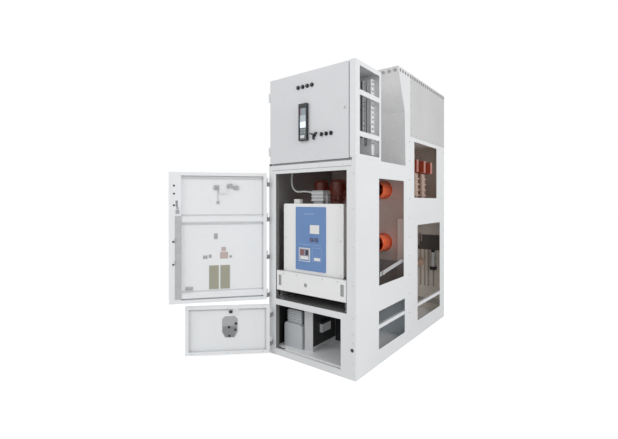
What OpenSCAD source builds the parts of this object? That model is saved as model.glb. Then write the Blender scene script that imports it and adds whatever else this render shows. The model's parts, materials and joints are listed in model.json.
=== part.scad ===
// Metal-clad switchgear cubicle with a withdrawable circuit breaker.
// The origin is on the floor, at the middle of the footprint. The front faces -Y.

/* [Cubicle] */
// Overall width
width = 800; // [700:10:1000]
// Overall depth
depth = 1800; // [1700:10:2000]
// Height of the top of the control compartment
front_h = 2170; // [2100:10:2400]
// Height of the top of the rear duct
rear_h = 2310; // [2200:10:2500]
// Thickness of the sheet steel
sheet = 3; // [2:0.5:4]
// Height of the base frame
base_h = 50; // [40:5:80]
// Wall thickness of the base frame channels
base_t = 4; // [3:0.5:6]
// Width of the lower flange of the base frame
base_foot = 60; // [50:5:80]
// Width of the upper flange of the base frame
base_lip = 22; // [15:1:25]
// Distance of the floor bolts from the outer faces
bolt_edge = 40; // [30:1:48]
// Diameter of the floor bolt holes
bolt_hole_d = 14; // [10:1:18]

/* [Compartments] */
// Height of the top of the breaker compartment roof
roof_z = 1508; // [1480:1:1560]
// Distance of the mid partition from the front
partition_y = 880; // [860:5:920]
// Height of the upper contact arms above the busbar compartment floor
busbar_floor_drop = 200; // [160:5:240]
// Height of the top of the busbar compartment roof
busbar_roof_z = 1768; // [1720:1:1850]
// Distance from the front where the rear side sheets begin
rear_side_y = 913; // [905:1:960]
// Gap between neighbouring rear covers
cover_gap = 2; // [1:0.5:4]
// Width of the side walls that is folded round the front corners
wall_return = 31; // [20:1:45]

/* [Rear duct] */
// Distance of the duct front from the cubicle front, at its foot
duct_foot_y = 815; // [780:5:850]
// Distance of the duct front from the cubicle front, at its fold
duct_fold_y = 798; // [760:2:840]
// Height of the slanted top of the duct front
duct_slant_h = 347; // [250:1:450]
// Distance of the duct front from the cubicle front, at its top
duct_top_y = 664; // [620:2:720]
// Length of a relief flap
flap_l = 480; // [400:10:500]
// Width of the rim that carries a relief flap
flap_rim = 25; // [15:1:40]

/* [Control compartment] */
// Distance of the control compartment from the front
lv_front_y = 22; // [18:1:30]
// Distance of the back of the control compartment from the front
lv_back_y = 368; // [320:1:420]
// Depth of the front post of the open side frame
lv_post = 54; // [44:1:70]
// Width of the front post of the open side frame
lv_post_w = 48; // [40:1:60]
// Depth of the rear post of the open side frame
lv_rear_post = 28; // [20:1:40]
// Height of the top rail of the open side frame
lv_rail = 33; // [20:1:45]
// Height of the bottom rail of the open side frame
lv_rail_low = 25; // [15:1:40]
// Height of the middle rails of the open side frame
lv_bar = 36; // [25:1:50]
// Height of the lower middle rail above the roof
lv_bar1_z = 146; // [120:1:180]
// Height of the upper middle rail above the roof
lv_bar2_z = 430; // [380:1:460]
// Depth of the folded lips of the control compartment
lv_lip = 18; // [10:1:25]
// Width of a wire duct
wire_duct_w = 40; // [25:1:60]
// Depth of a wire duct
wire_duct_t = 50; // [30:1:70]
// Depth of a terminal row
terminal_t = 45; // [30:1:60]
// Height of a terminal row
terminal_h = 56; // [40:1:70]
// Distance of the wire ducts from the side walls
wire_duct_in = 67; // [50:1:90]
// Distance between the two right-hand wire ducts
wire_duct_gap = 70; // [50:1:100]
// Height of the wire duct across the foot of the compartment
foot_duct_h = 73; // [40:1:90]
// Height of the foot duct above the roof
foot_duct_up = 44; // [20:1:60]
// Height of the open seam under the control door
seam_h = 15; // [6:1:25]
// Distance of the foot of the control door below the roof
lv_door_drop = 4; // [3:1:8]
// Width of the relay
relay_w = 76; // [60:1:140]
// Height of the relay
relay_h = 272; // [200:1:300]
// Depth of the relay in front of the door
relay_t = 24; // [8:1:40]
// Width of the relay bezel
bezel = 7; // [4:1:14]
// Height of the relay bezel above its face
bezel_top = 30; // [8:1:40]
// Distance of the middle of the relay from the door hinge pins
relay_x = 357; // [300:1:400]
// Height of the foot of the relay above the roof
relay_up = 148; // [120:1:200]
// Distance between neighbouring lamps
lamp_pitch = 43; // [35:1:60]
// Distance of the first lamp from the door hinge pins
lamp_x = 299; // [250:1:330]
// Height of the lamps above the roof
lamp_up = 550; // [500:1:580]
// Diameter of a lamp
lamp_d = 30; // [22:1:34]
// Distance between neighbouring switches
switch_pitch = 41; // [34:1:60]
// Distance of the first switch from the door hinge pins
switch_x = 514; // [490:1:540]
// Height of the switches above the roof
switch_up = 180; // [150:1:220]
// Diameter of a switch
switch_d = 30; // [24:1:34]
// Distance of the selector from the door hinge pins
selector_x = 448; // [430:1:470]
// Length of an arm of the selector handle
selector_l = 33; // [24:1:40]

/* [Front openings] */
// Width of the breaker opening
breaker_open_w = 656; // [600:2:680]
// Height of the sill of the breaker opening
sill_z = 443; // [420:1:480]
// Height of the head of the breaker opening
head_z = 1424; // [1380:1:1440]
// Width of the lower opening
lower_open_w = 608; // [560:2:640]
// Height of the head of the lower opening
lower_head_z = 397; // [360:1:410]
// Depth of the folded jambs
jamb = 40; // [30:1:60]

/* [Side windows] */
// Front edge of the breaker window
win1_y = 336; // [300:1:360]
// Length of the breaker window
win1_l = 444; // [380:1:480]
// Sill of the breaker window
win1_z = 584; // [560:1:640]
// Height of the breaker window
win1_h = 794; // [700:1:840]
// Front edge of the lower window
win2_y = 334; // [300:1:360]
// Length of the lower window
win2_l = 466; // [380:1:490]
// Sill of the lower window
win2_z = 111; // [90:1:140]
// Height of the lower window
win2_h = 284; // [240:1:310]
// Front edge of the busbar window
win3_y = 1003; // [980:1:1060]
// Distance of the busbar window from the back
win3_back = 227; // [160:1:320]
// Sill of the busbar window
win3_z = 1240; // [1190:1:1300]
// Height of the busbar window
win3_h = 495; // [380:1:500]
// Front edge of the cable window
win4_y = 1077; // [1000:1:1120]
// Distance of the cable window from the back
win4_back = 130; // [90:1:200]
// Sill of the cable window
win4_z = 139; // [100:1:180]
// Height of the cable window
win4_h = 857; // [700:1:890]

/* [Doors] */
// Depth of a door tray
door_t = 22; // [18:1:30]
// Gap between a closed door and the frame
door_gap = 6; // [5:0.5:8]
// Distance from a hinge pin to the edge of its door
pin_edge = 9; // [8:0.5:14]
// Diameter of a hinge barrel
barrel_d = 12; // [10:0.5:14]
// Diameter of a hinge pin
pin_d = 6; // [4:0.5:8]
// Radial clearance of a hinge pin
pin_play = 0.08; // [0.05:0.01:0.1]
// Length of one hinge barrel
barrel_l = 34; // [24:1:45]
// Distance of the upper hinge pins from the left side
upper_pin_x = 8; // [7:0.5:12]
// Distance of the lower hinge pins from the left side
lower_pin_x = 44; // [38:1:60]
// Width of the control door from its hinge pin
lv_door_w = 738; // [700:1:740]
// Width of the breaker door from its hinge pin
breaker_door_w = 740; // [720:1:760]
// Width of the lower door from its hinge pin
lower_door_w = 651; // [640:1:700]
// Angle at which the breaker door stands open
breaker_door_deg = 130; // [90:1:135]
// Angle at which the lower door stands open
lower_door_deg = 136; // [90:1:140]
// Overlap of the doors above and below their openings
door_lap = 6; // [3:1:10]
// Width of the folded inner lips of the doors
door_lip = 26; // [15:1:40]
// Width of the lock channel of the breaker door
lock_w = 62; // [50:1:90]
// Height of a slot in the lock channel
lock_slot_h = 45; // [30:1:100]
// Height of the door stiffeners
stiffener_h = 57; // [45:1:90]
// Height of the breaker door stiffener above the foot of the door
stiffener_z = 605; // [560:5:700]
// Length of a door handle
handle_l = 190; // [140:5:240]
// Width of a door handle
handle_w = 34; // [24:1:45]
// Depth of a door handle
handle_t = 12; // [8:1:16]

/* [Breaker truck] */
// Travel of the truck from its test position to its service position
truck_travel = 200; // [180:5:220]
// Distance between neighbouring phases
phase_pitch = 170; // [165:5:220]
// Height of the lower contact arms
lower_arm_z = 846; // [820:1:880]
// Height of the upper contact arms above the lower ones
arm_spacing = 464; // [420:1:490]
// Height of the foot of the truck front panel
truck_panel_z = 516; // [505:1:530]
// Height of the truck front panel
truck_panel_h = 150; // [120:1:170]
// Gap beside the truck front panel
truck_side_gap = 6; // [5:0.5:10]
// Distance of the truck front panel from the front
truck_y = 5; // [3:1:12]
// Depth of the folded edges of the truck front panel
panel_return = 25; // [15:1:30]
// Length of the truck chassis
chassis_l = 470; // [420:5:520]
// Diameter of a truck wheel
wheel_d = 60; // [50:1:70]
// Width of a truck wheel
wheel_w = 18; // [14:1:24]
// Width of the breaker cover
cover_w = 556; // [500:2:580]
// Height of the breaker cover
cover_h = 525; // [480:1:540]
// Distance of the breaker cover from the front
cover_y = 40; // [34:1:60]
// Depth of the breaker cover
cover_t = 60; // [40:1:80]
// Corner radius of the breaker cover
cover_r = 12; // [5:1:25]
// Depth of the mechanism housing behind the cover
housing_t = 200; // [160:5:240]
// Width of the blue operating panel
panel_w = 283; // [250:1:300]
// Height of the blue operating panel
panel_h = 477; // [430:1:490]
// Shift of the blue operating panel to the left
panel_shift = 13; // [0:1:20]
// Diameter of a pole
pole_d = 132; // [110:1:140]
// Diameter of an insulated contact arm
arm_d = 74; // [60:1:80]
// Length of a contact arm behind its pole
arm_l = 175; // [150:5:200]
// Diameter of a tulip contact
tulip_d = 88; // [76:1:94]
// Length of a tulip contact
tulip_l = 78; // [60:1:90]
// Number of fingers in a tulip contact
tulip_fingers = 16; // [12:2:20]

/* [Contacts and bars] */
// Outer diameter of a contact spout
spout_d = 144; // [124:1:148]
// Wall thickness of a contact spout
spout_t = 10; // [8:1:12]
// Diameter of the mounting flange of a spout
spout_flange_d = 158; // [150:1:162]
// Gap between a tulip contact at rest and the mouth of its spout
spout_gap = 20; // [10:1:30]
// Length of a spout behind the partition
spout_back = 110; // [90:5:140]
// Diameter of a fixed contact rod
rod_d = 36; // [30:1:40]
// Thickness of the bars
bar_t = 12; // [8:1:16]
// Width of the branch bars
branch_w = 60; // [50:1:80]
// Height of a main busbar
busbar_h = 110; // [80:1:130]
// Thickness of a main busbar
busbar_t = 44; // [30:1:60]
// Height of the main busbars above the upper contact arms
busbar_rise = 220; // [180:1:250]
// Distance of the first main busbar from the front
busbar_y = 1085; // [1070:1:1120]
// Distance between neighbouring main busbars
busbar_pitch = 172; // [150:1:190]
// Distance of the busbar posts from the side walls
busbar_post_in = 97; // [80:1:150]
// Distance of the current transformers behind the spouts
ct_gap = 95; // [30:1:150]
// Width of a current transformer
ct_w = 150; // [120:1:165]
// Length of a current transformer
ct_l = 340; // [300:1:380]
// Height of a current transformer
ct_h = 250; // [200:1:280]
// Height of the cable terminals
cable_end_z = 400; // [360:5:440]
// Diameter of the cable terminal holes
cable_hole_d = 13; // [11:1:17]
// Diameter of a post insulator
post_d = 84; // [70:1:96]

/* [Lower compartment] */
// Width of the voltage transformer
vt_w = 180; // [150:1:200]
// Depth of the voltage transformer
vt_l = 240; // [180:5:300]
// Height of the voltage transformer
vt_h = 190; // [150:1:220]
// Distance of the voltage transformer from the left jamb
vt_edge = 12; // [8:1:40]
// Distance of the voltage transformer from the front
vt_y = 90; // [70:1:140]
// Gap between the voltage transformer and the divider plate
divider_gap = 10; // [6:1:20]
// Width of the divider plate
divider_w = 81; // [60:1:100]
// Distance of the divider plate from the front
divider_y = 110; // [90:1:160]
// Depth of the divider plate
divider_l = 310; // [250:1:360]
// Distance that the terminal box stands off the divider plate
box_w = 25; // [15:1:60]
// Height of the terminal box
box_h = 105; // [80:1:130]
// Length of the terminal box
box_l = 118; // [90:1:150]
// Height of the side rails above the floor
side_rail_z = 262; // [230:1:290]
// Height of a side rail
side_rail_h = 28; // [20:1:40]
// Depth of a side rail
side_rail_t = 22; // [15:1:30]
// Width of the wiring trunk on the partition
trunk_w = 62; // [40:1:80]
// Depth of the wiring trunk
trunk_t = 40; // [30:1:60]
// Height of the wiring trunk
trunk_h = 617; // [500:1:900]
// Height of the shutter lever
lever_h = 30; // [20:1:45]
// Rise of the shutter lever along its length
lever_rise = 62; // [30:1:90]

/* [Hidden] */
$fn = 64;
// How far a cut runs past a face, and a piece into the rest of its own solid
bite = 1;
// Clearance of a piece in its seat
seat = 0.3;
half_w = width / 2;
in_w = half_w - sheet;
front_gap = door_gap + door_t;
white = [0.90, 0.90, 0.89];
grey = [0.72, 0.74, 0.76];
dark = [0.22, 0.22, 0.23];
beige = [0.86, 0.85, 0.83];
blue = [0.30, 0.45, 0.70];
orange = [0.88, 0.30, 0.14];
brown = [0.42, 0.16, 0.11];
copper = [0.80, 0.48, 0.28];
steel = [0.66, 0.67, 0.68];

breaker_x = breaker_open_w / 2;
lower_left_x = -breaker_x;
lower_right_x = lower_left_x + lower_open_w;
roof_under = roof_z - sheet;
rear_under = rear_h - sheet;
duct_fold_z = rear_under - duct_slant_h;
upper_arm_z = lower_arm_z + arm_spacing;
busbar_floor_z = upper_arm_z - busbar_floor_drop;
busbar_z = upper_arm_z + busbar_rise;
phases = [-1, 0, 1];

// Relief flaps in the roof and on the duct
flap_x = in_w - 3 * flap_rim;
flap_hole_x = flap_x - flap_rim;
roof_flap_y = 425;
roof_flap_l = 315;
duct_flap1_y = 760;
duct_flap2_y = 1290;

// Doors, drawn from their hinge pins
lv_pin_y = fy(lv_front_y - front_gap);
door_pin_y = fy(-front_gap);
upper_pin = upper_pin_x - half_w;
lower_pin = lower_pin_x - half_w;
lv_door_z = roof_z - lv_door_drop;
lv_door_h = front_h - door_lap - lv_door_z;
seam_z = lv_door_z - seam_h;
breaker_door_z = sill_z - door_lap;
breaker_door_h = head_z - sill_z + 2 * door_lap;
lower_door_z = base_h / 2;
lower_door_h = lower_head_z + door_lap - lower_door_z;
lv_hinge_z = [for (k = [0.15, 0.8]) lv_door_z + k * lv_door_h];
breaker_hinge_z = [for (k = [0.045, 0.35, 0.65, 0.93]) breaker_door_z + k * breaker_door_h];
lower_hinge_z = [for (k = [0.22, 0.81]) lower_door_z + k * lower_door_h];

// Wiring of the control compartment and fittings of its door
lv_inner_y = lv_back_y - sheet;
lv_duct_top = front_h - 50;
foot_duct_z = roof_z + foot_duct_up;
lv_duct_z = foot_duct_z + foot_duct_h + seat;
lv_duct_h = lv_duct_top - lv_duct_z;
lv_duct_x = [wire_duct_in - in_w, in_w - wire_duct_in - wire_duct_gap, in_w - wire_duct_in];
terminal_rows = [0.2, 0.52, 0.84];
relay_z = roof_z + relay_up;
lamps = 4;
switches = 3;

// Truck, from its wheels up to the breaker
truck_x = breaker_x - truck_side_gap;
rail_t = 5;
rail_z = sill_z + rail_t;
rail_stop = 12;
rail_end = partition_y - trunk_t - rail_stop;
wheel_z = rail_z + seat + wheel_d / 2;
wheel_x = truck_x - wheel_w;
hub_t = 2;
chassis_t = 5;
chassis_x = wheel_x - hub_t;
chassis_y = truck_y + panel_return;
chassis_top = truck_panel_z + truck_panel_h;
cover_x = cover_w / 2;
cover_z = chassis_top;
housing_y = cover_y + cover_t;
housing_back = housing_y + housing_t;
housing_x = cover_x - cover_r;
housing_h = cover_h - cover_r;

// Blue panel, and its raised items by left, foot, width and height as shares of it
panel_t = 4;
panel_r = 8;
panel_x0 = -panel_shift - panel_w / 2;
panel_z0 = cover_z + (cover_h - panel_h) / 2;
panel_face_y = cover_y - panel_t;
window_item = [0.50, 0.585, 0.30, 0.135];
counter_item = [0.13, 0.14, 0.37, 0.214];
label_item = [0.63, 0.17, 0.20, 0.045];
button_u = [0.55, 0.70];
button_v = 0.49;

// Poles, arms and contacts, one behind the other
pole_foot = 28;
pole_rib = 8;
pole_y = housing_back + pole_foot + pole_d / 2;
boss_l = 2;
arm_y = pole_y + pole_d / 2 + boss_l;
tulip_sink = 6;
tulip_floor = 14;
tulip_y = arm_y + arm_l - tulip_sink;
tulip_end = tulip_y + tulip_l;
mouth_y = tulip_end + spout_gap;
rod_play = 2;
rod_front = tulip_y + tulip_floor + rod_play + truck_travel;
spout_in = spout_d - 2 * spout_t;
spout_end = partition_y + sheet + spout_back;

// Bars and transformers behind the spouts
ct_y = spout_end + ct_gap;
ct_z = lower_arm_z - ct_h / 2;
cable_bar_y = ct_y + ct_l;
post_h = busbar_z - busbar_h / 2 - busbar_floor_z;
vt_x = lower_left_x + vt_edge;
divider_x = vt_x + vt_w + divider_gap;

// Control plug on top of the breaker
plug_x = 2;
plug_y = 150;
plug_w = 104;
plug_d = 90;
plug_h = 82;
plug_foot_h = 30;
plug_z = cover_z + housing_h;

// Round points of the control conduit, from the ceiling gland to the plug
conduit_d = 16;
conduit_sides = 10;
conduit_route = [
    [-285, 150, 1478], [-285, 150, 1455], [-287, 150, 1430], [-290, 150, 1405], [-291, 150, 1380],
    [-290, 150, 1356], [-285, 150, 1334], [-274, 150, 1314], [-258, 150, 1299], [-238, 150, 1289],
    [-215, 150, 1285], [-190, 150, 1286], [-165, 150, 1287], [-140, 150, 1286], [-116, 150, 1283],
    [-93, 150, 1280], [-71, 150, 1278], [-50, 150, 1278]
];

// Depth from the front of the cubicle, as a Y value
function fy(d) = d - depth / 2;

// Box between two corners
module block(x0, x1, y0, y1, z0, z1) {
    translate([x0, y0, z0]) cube([x1 - x0, y1 - y0, z1 - z0]);
}

// Outline in Y and Z, drawn out along X
module side_profile(points, x0, thickness) {
    translate([x0, 0, 0]) rotate([90, 0, 90]) linear_extrude(thickness) polygon(points);
}

// Round bar along Y
module bar_y_round(x, y0, y1, z, d) {
    translate([x, y0, z]) rotate([-90, 0, 0]) cylinder(d = d, h = y1 - y0);
}

// Turned shape along Y, from an outline of radius and distance
module turned_y(x, y, z, points) {
    translate([x, y, z]) rotate([-90, 0, 0]) rotate_extrude() polygon(points);
}

// Ribbed post insulator standing on its foot
module post(x, y, z, h, d) {
    ribs = max(2, floor(h / 60));
    rib_t = 14;
    rib_out = 12;
    core_d = d - 2 * rib_out;
    translate([x, y, z]) {
        cylinder(d = core_d, h = h);
        for (i = [1 : ribs]) {
            translate([0, 0, h * i / (ribs + 1) - rib_t / 2]) cylinder(d = d, h = rib_t);
        }
    }
}

module base_frame() {
    color(white) difference() {
        union() {
            difference() {
                block(-half_w, half_w, fy(0), fy(depth), 0, base_h);
                block(base_t - half_w, half_w - base_t, fy(base_t), fy(depth - base_t), -bite,
                    base_h + bite);
            }
            base_flange(base_foot, 0);
            base_flange(base_lip, base_h - base_t);
        }
        for (sx = [-1, 1], sy = [-1, 1]) {
            translate([sx * (half_w - bolt_edge), sy * (depth / 2 - bolt_edge), -bite])
                cylinder(d = bolt_hole_d, h = base_t + 2 * bite);
        }
    }
}

// Flat flange around the inside of the base frame
module base_flange(flange_w, z) {
    difference() {
        block(bite - half_w, half_w - bite, fy(bite), fy(depth - bite), z, z + base_t);
        block(flange_w - half_w, half_w - flange_w, fy(flange_w), fy(depth - flange_w), z - bite,
            z + base_t + bite);
    }
}

module front_frame() {
    post_x = half_w - wall_return;
    color(white) {
        difference() {
            block(-post_x, post_x, fy(0), fy(sheet), base_h, seam_z);
            block(-breaker_x, breaker_x, fy(-bite), fy(sheet + bite), sill_z, head_z);
            block(lower_left_x, lower_right_x, fy(-bite), fy(sheet + bite), base_h - bite, lower_head_z);
        }
        jambs(-breaker_x, breaker_x, sill_z - sheet, sill_z, head_z);
        jambs(lower_left_x, lower_right_x, base_h, base_h - bite, lower_head_z);
        block(-post_x, post_x, fy(sheet - bite), fy(lv_front_y + sheet), seam_z - sheet, seam_z);
    }
}

// Folded jambs round an opening of the front, with the foot of the frame and of the opening
module jambs(x0, x1, frame_foot, foot, head) {
    difference() {
        block(x0 - sheet, x1 + sheet, fy(sheet - bite), fy(jamb), frame_foot, head + sheet);
        block(x0, x1, fy(0), fy(jamb + bite), foot, head);
    }
}

// Outline of the front part of a side wall, with the cheek of the rear duct
function front_wall_outline() = [
    [fy(0), base_h], [fy(rear_side_y), base_h], [fy(rear_side_y), rear_under],
    [fy(duct_top_y), rear_under], [fy(duct_fold_y), duct_fold_z], [fy(duct_foot_y), roof_z], [fy(0), roof_z]
];

module left_front_wall() {
    color(white) {
        side_profile(front_wall_outline(), -half_w, sheet);
        block(-half_w, wall_return - half_w, fy(0), fy(sheet), base_h, seam_z);
    }
}

module right_front_wall() {
    color(white) difference() {
        union() {
            side_profile(front_wall_outline(), in_w, sheet);
            block(half_w - wall_return, half_w, fy(0), fy(sheet), base_h, roof_z);
        }
        side_window(win1_y, win1_y + win1_l, win1_z, win1_z + win1_h);
        side_window(win2_y, win2_y + win2_l, win2_z, win2_z + win2_h);
    }
}

module left_rear_wall() {
    color(white) block(-half_w, -in_w, fy(rear_side_y), fy(depth), base_h, busbar_roof_z);
}

module right_rear_wall() {
    color(white) difference() {
        block(in_w, half_w, fy(rear_side_y), fy(depth), base_h, busbar_roof_z);
        side_window(win3_y, depth - win3_back, win3_z, win3_z + win3_h);
        side_window(win4_y, depth - win4_back, win4_z, win4_z + win4_h);
    }
}

// Cut through the right side wall, by distance from the front and height
module side_window(d0, d1, z0, z1) {
    block(in_w - bite, half_w + bite, fy(d0), fy(d1), z0, z1);
}

module mid_partition() {
    color(grey) difference() {
        block(-in_w, in_w, fy(partition_y), fy(partition_y + sheet), base_h, busbar_roof_z - sheet);
        for (p = phases, z = [upper_arm_z, lower_arm_z]) {
            bar_y_round(p * phase_pitch, fy(partition_y - bite), fy(partition_y + sheet + bite), z,
                spout_d + 2 * seat);
        }
    }
}

module breaker_floor() {
    color(grey) block(-in_w, in_w, fy(jamb), fy(partition_y), sill_z - sheet, sill_z);
}

module truck_rails() {
    rail_play = 22;
    rail_w = wheel_w + rail_play;
    rail_lip = 18;
    front_play = 2;
    y0 = fy(jamb + front_play);
    y1 = fy(rail_end);
    color(steel) for (s = [-1, 1]) {
        on_side(s) {
            block(breaker_x - rail_w, breaker_x, y0, y1, sill_z, rail_z);
            block(breaker_x, breaker_x + rail_t, y0, y1, sill_z, rail_z + rail_lip);
        }
    }
}

// Leaves a right-hand shape as it is, or mirrors it to the left
module on_side(side) {
    if (side > 0) {
        children();
    } else {
        mirror([1, 0, 0]) children();
    }
}

// Opening under a relief flap
module flap_hole(y, length, z) {
    block(-flap_hole_x, flap_hole_x, fy(y), fy(y + length), z - sheet - bite, z + bite);
}

// Relief flap lying on the rim of its opening
module flap(y, length, z) {
    block(-flap_x, flap_x, fy(y - flap_rim), fy(y + length + flap_rim), z, z + sheet);
}

module breaker_roof() {
    color(grey) difference() {
        union() {
            block(-in_w, in_w, fy(lv_front_y), fy(partition_y), roof_under, roof_z);
            block(-in_w, in_w, fy(lv_front_y), fy(lv_front_y + sheet), seam_z, roof_z);
        }
        flap_hole(roof_flap_y, roof_flap_l, roof_z);
    }
}

module busbar_floor() {
    color(grey) block(-in_w, in_w, fy(partition_y + sheet), fy(depth - sheet), busbar_floor_z - sheet,
        busbar_floor_z);
}

module busbar_roof() {
    color(grey) block(-in_w, in_w, fy(partition_y + sheet), fy(depth - sheet), busbar_roof_z - sheet,
        busbar_roof_z);
}

module rear_covers() {
    color(white) {
        block(-in_w, in_w, fy(depth - sheet), fy(depth), base_h, busbar_floor_z - cover_gap);
        block(-in_w, in_w, fy(depth - sheet), fy(depth), busbar_floor_z, busbar_roof_z - cover_gap);
        block(-in_w, in_w, fy(depth - sheet), fy(depth), busbar_roof_z, rear_under);
    }
}

module duct_front() {
    color(grey) side_profile([
        [fy(duct_foot_y), roof_z], [fy(duct_fold_y), duct_fold_z], [fy(duct_top_y), rear_under],
        [fy(duct_top_y + sheet), rear_under], [fy(duct_fold_y + sheet), duct_fold_z],
        [fy(duct_foot_y + sheet), roof_z]
    ], -in_w, 2 * in_w);
}

module duct_side_panels() {
    color(steel) for (s = [-1, 1]) {
        on_side(s) block(in_w, half_w, fy(rear_side_y), fy(depth), busbar_roof_z, rear_under);
    }
}

module duct_top() {
    color(steel) difference() {
        block(-half_w, half_w, fy(duct_top_y), fy(depth), rear_under, rear_h);
        flap_hole(duct_flap1_y, flap_l, rear_h);
        flap_hole(duct_flap2_y, flap_l, rear_h);
    }
}

module relief_flaps() {
    color(steel) {
        flap(duct_flap1_y, flap_l, rear_h);
        flap(duct_flap2_y, flap_l, rear_h);
        flap(roof_flap_y, roof_flap_l, roof_z);
    }
}

module lv_left_wall() {
    color(white) {
        block(-half_w, -in_w, fy(lv_front_y), fy(lv_back_y), roof_z, front_h);
        block(-half_w, -in_w + lv_lip, fy(lv_front_y), fy(lv_front_y + sheet), roof_z, front_h - sheet);
    }
}

module lv_right_frame() {
    h = front_h - roof_z;
    post_x = half_w - lv_post_w;
    color(white) difference() {
        union() {
            block(in_w, half_w, fy(0), fy(lv_back_y), roof_z, front_h);
            block(post_x, half_w, fy(0), fy(sheet), roof_z, front_h);
            block(post_x, post_x + sheet, fy(0), fy(lv_post), roof_z, front_h - sheet);
            block(post_x, half_w, fy(0), fy(lv_front_y), front_h - sheet, front_h);
            block(post_x - lv_lip, post_x + bite, fy(lv_front_y), fy(lv_front_y + sheet), roof_z,
                front_h - sheet);
        }
        lv_side_hole(lv_rail_low, lv_bar1_z);
        lv_side_hole(lv_bar1_z + lv_bar, lv_bar2_z);
        lv_side_hole(lv_bar2_z + lv_bar, h - lv_rail);
    }
}

// One opening in the side frame of the control compartment, by height above the roof
module lv_side_hole(z0, z1) {
    side_window(lv_post, lv_back_y - lv_rear_post, roof_z + z0, roof_z + z1);
}

module lv_back() {
    color(grey) block(-in_w, in_w, fy(lv_back_y - sheet), fy(lv_back_y), roof_z, front_h - sheet);
}

module lv_top() {
    color(white) block(-in_w, in_w, fy(lv_front_y), fy(lv_back_y), front_h - sheet, front_h);
}

module lv_wire_ducts() {
    slots = 14;
    slot_h = 12;
    y0 = fy(lv_inner_y - wire_duct_t);
    end_x = wire_duct_w / 2;
    color(grey) {
        for (x = lv_duct_x) {
            difference() {
                block(x - end_x, x + end_x, y0, fy(lv_inner_y), lv_duct_z, lv_duct_top);
                for (i = [0 : slots - 1]) {
                    z = lv_duct_z + lv_duct_h * (i + 0.5) / slots;
                    block(x - wire_duct_w, x + wire_duct_w, y0 + sheet, fy(lv_inner_y - wire_duct_t / 3),
                        z - slot_h / 2, z + slot_h / 2);
                }
            }
        }
        block(lv_duct_x[0] - end_x, lv_duct_x[2] + end_x, y0, fy(lv_inner_y), foot_duct_z,
            foot_duct_z + foot_duct_h);
    }
}

module lv_terminals() {
    x0 = lv_duct_x[0] + wire_duct_w;
    x1 = lv_duct_x[1] - wire_duct_w;
    y1 = fy(lv_inner_y);
    groove = terminal_h / 7;
    color(dark) for (r = terminal_rows) {
        z = lv_duct_z + lv_duct_h * r;
        difference() {
            block(x0, x1, y1 - terminal_t, y1, z - terminal_h / 2, z + terminal_h / 2);
            block(x0 - bite, x1 + bite, y1 - terminal_t - bite, y1 - 2 * terminal_t / 3, z - groove,
                z + groove);
        }
    }
}

// Hinge halves of one door on the frame: barrels, pins and the leaves behind them
module frame_hinges(pin_x, face_y, pin_y, heights) {
    for (z = heights) {
        translate([pin_x, pin_y, z - barrel_l]) cylinder(d = barrel_d, h = barrel_l - seat);
        translate([pin_x, pin_y, z - bite]) cylinder(d = pin_d, h = barrel_l);
        block(pin_x - barrel_d / 2, pin_x - barrel_d / 2 + sheet, pin_y, face_y, z - barrel_l, z - seat);
    }
}

// Hinge halves of one door on the door itself, in the closed place of the door
module door_hinges_half(heights) {
    for (z = heights) {
        difference() {
            union() {
                translate([0, 0, z]) cylinder(d = barrel_d, h = barrel_l);
                block(0, pin_edge + sheet, 0, sheet, z, z + barrel_l);
            }
            translate([0, 0, z - bite]) cylinder(d = pin_d + 2 * pin_play, h = barrel_l + 2 * bite);
        }
    }
}

module door_hinges() {
    color(steel) {
        frame_hinges(upper_pin, fy(lv_front_y), lv_pin_y, lv_hinge_z);
        frame_hinges(upper_pin, fy(0), door_pin_y, breaker_hinge_z);
        frame_hinges(lower_pin, fy(0), door_pin_y, lower_hinge_z);
    }
}

// Door tray with folded edges and inner lips, in its closed place, hinge pin at the origin
module door_tray(w, z, h, lip) {
    difference() {
        block(pin_edge, w, 0, door_t, z, z + h);
        block(pin_edge + sheet, w - sheet, sheet, door_t - sheet, z + sheet, z + h - sheet);
        block(pin_edge + lip, w - lip, door_t - 2 * sheet, door_t + bite, z + lip, z + h - lip);
    }
}

// Places a door that is drawn closed at its hinge pin, turned open
module hung(pin_x, pin_y, angle) {
    translate([pin_x, pin_y, 0]) rotate([0, 0, -angle]) children();
}

module lv_door_panel() {
    color(white) hung(upper_pin, lv_pin_y, 0) {
        door_tray(lv_door_w, lv_door_z, lv_door_h, door_lip);
        door_hinges_half(lv_hinge_z);
    }
}

module relay() {
    x0 = upper_pin + relay_x - relay_w / 2;
    x1 = x0 + relay_w;
    y0 = lv_pin_y - relay_t;
    color(dark) difference() {
        block(x0, x1, y0, lv_pin_y, relay_z, relay_z + relay_h);
        block(x0 + bezel, x1 - bezel, y0 - bite, y0 + relay_t / 3, relay_z + bezel,
            relay_z + relay_h - bezel_top);
    }
}

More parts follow.
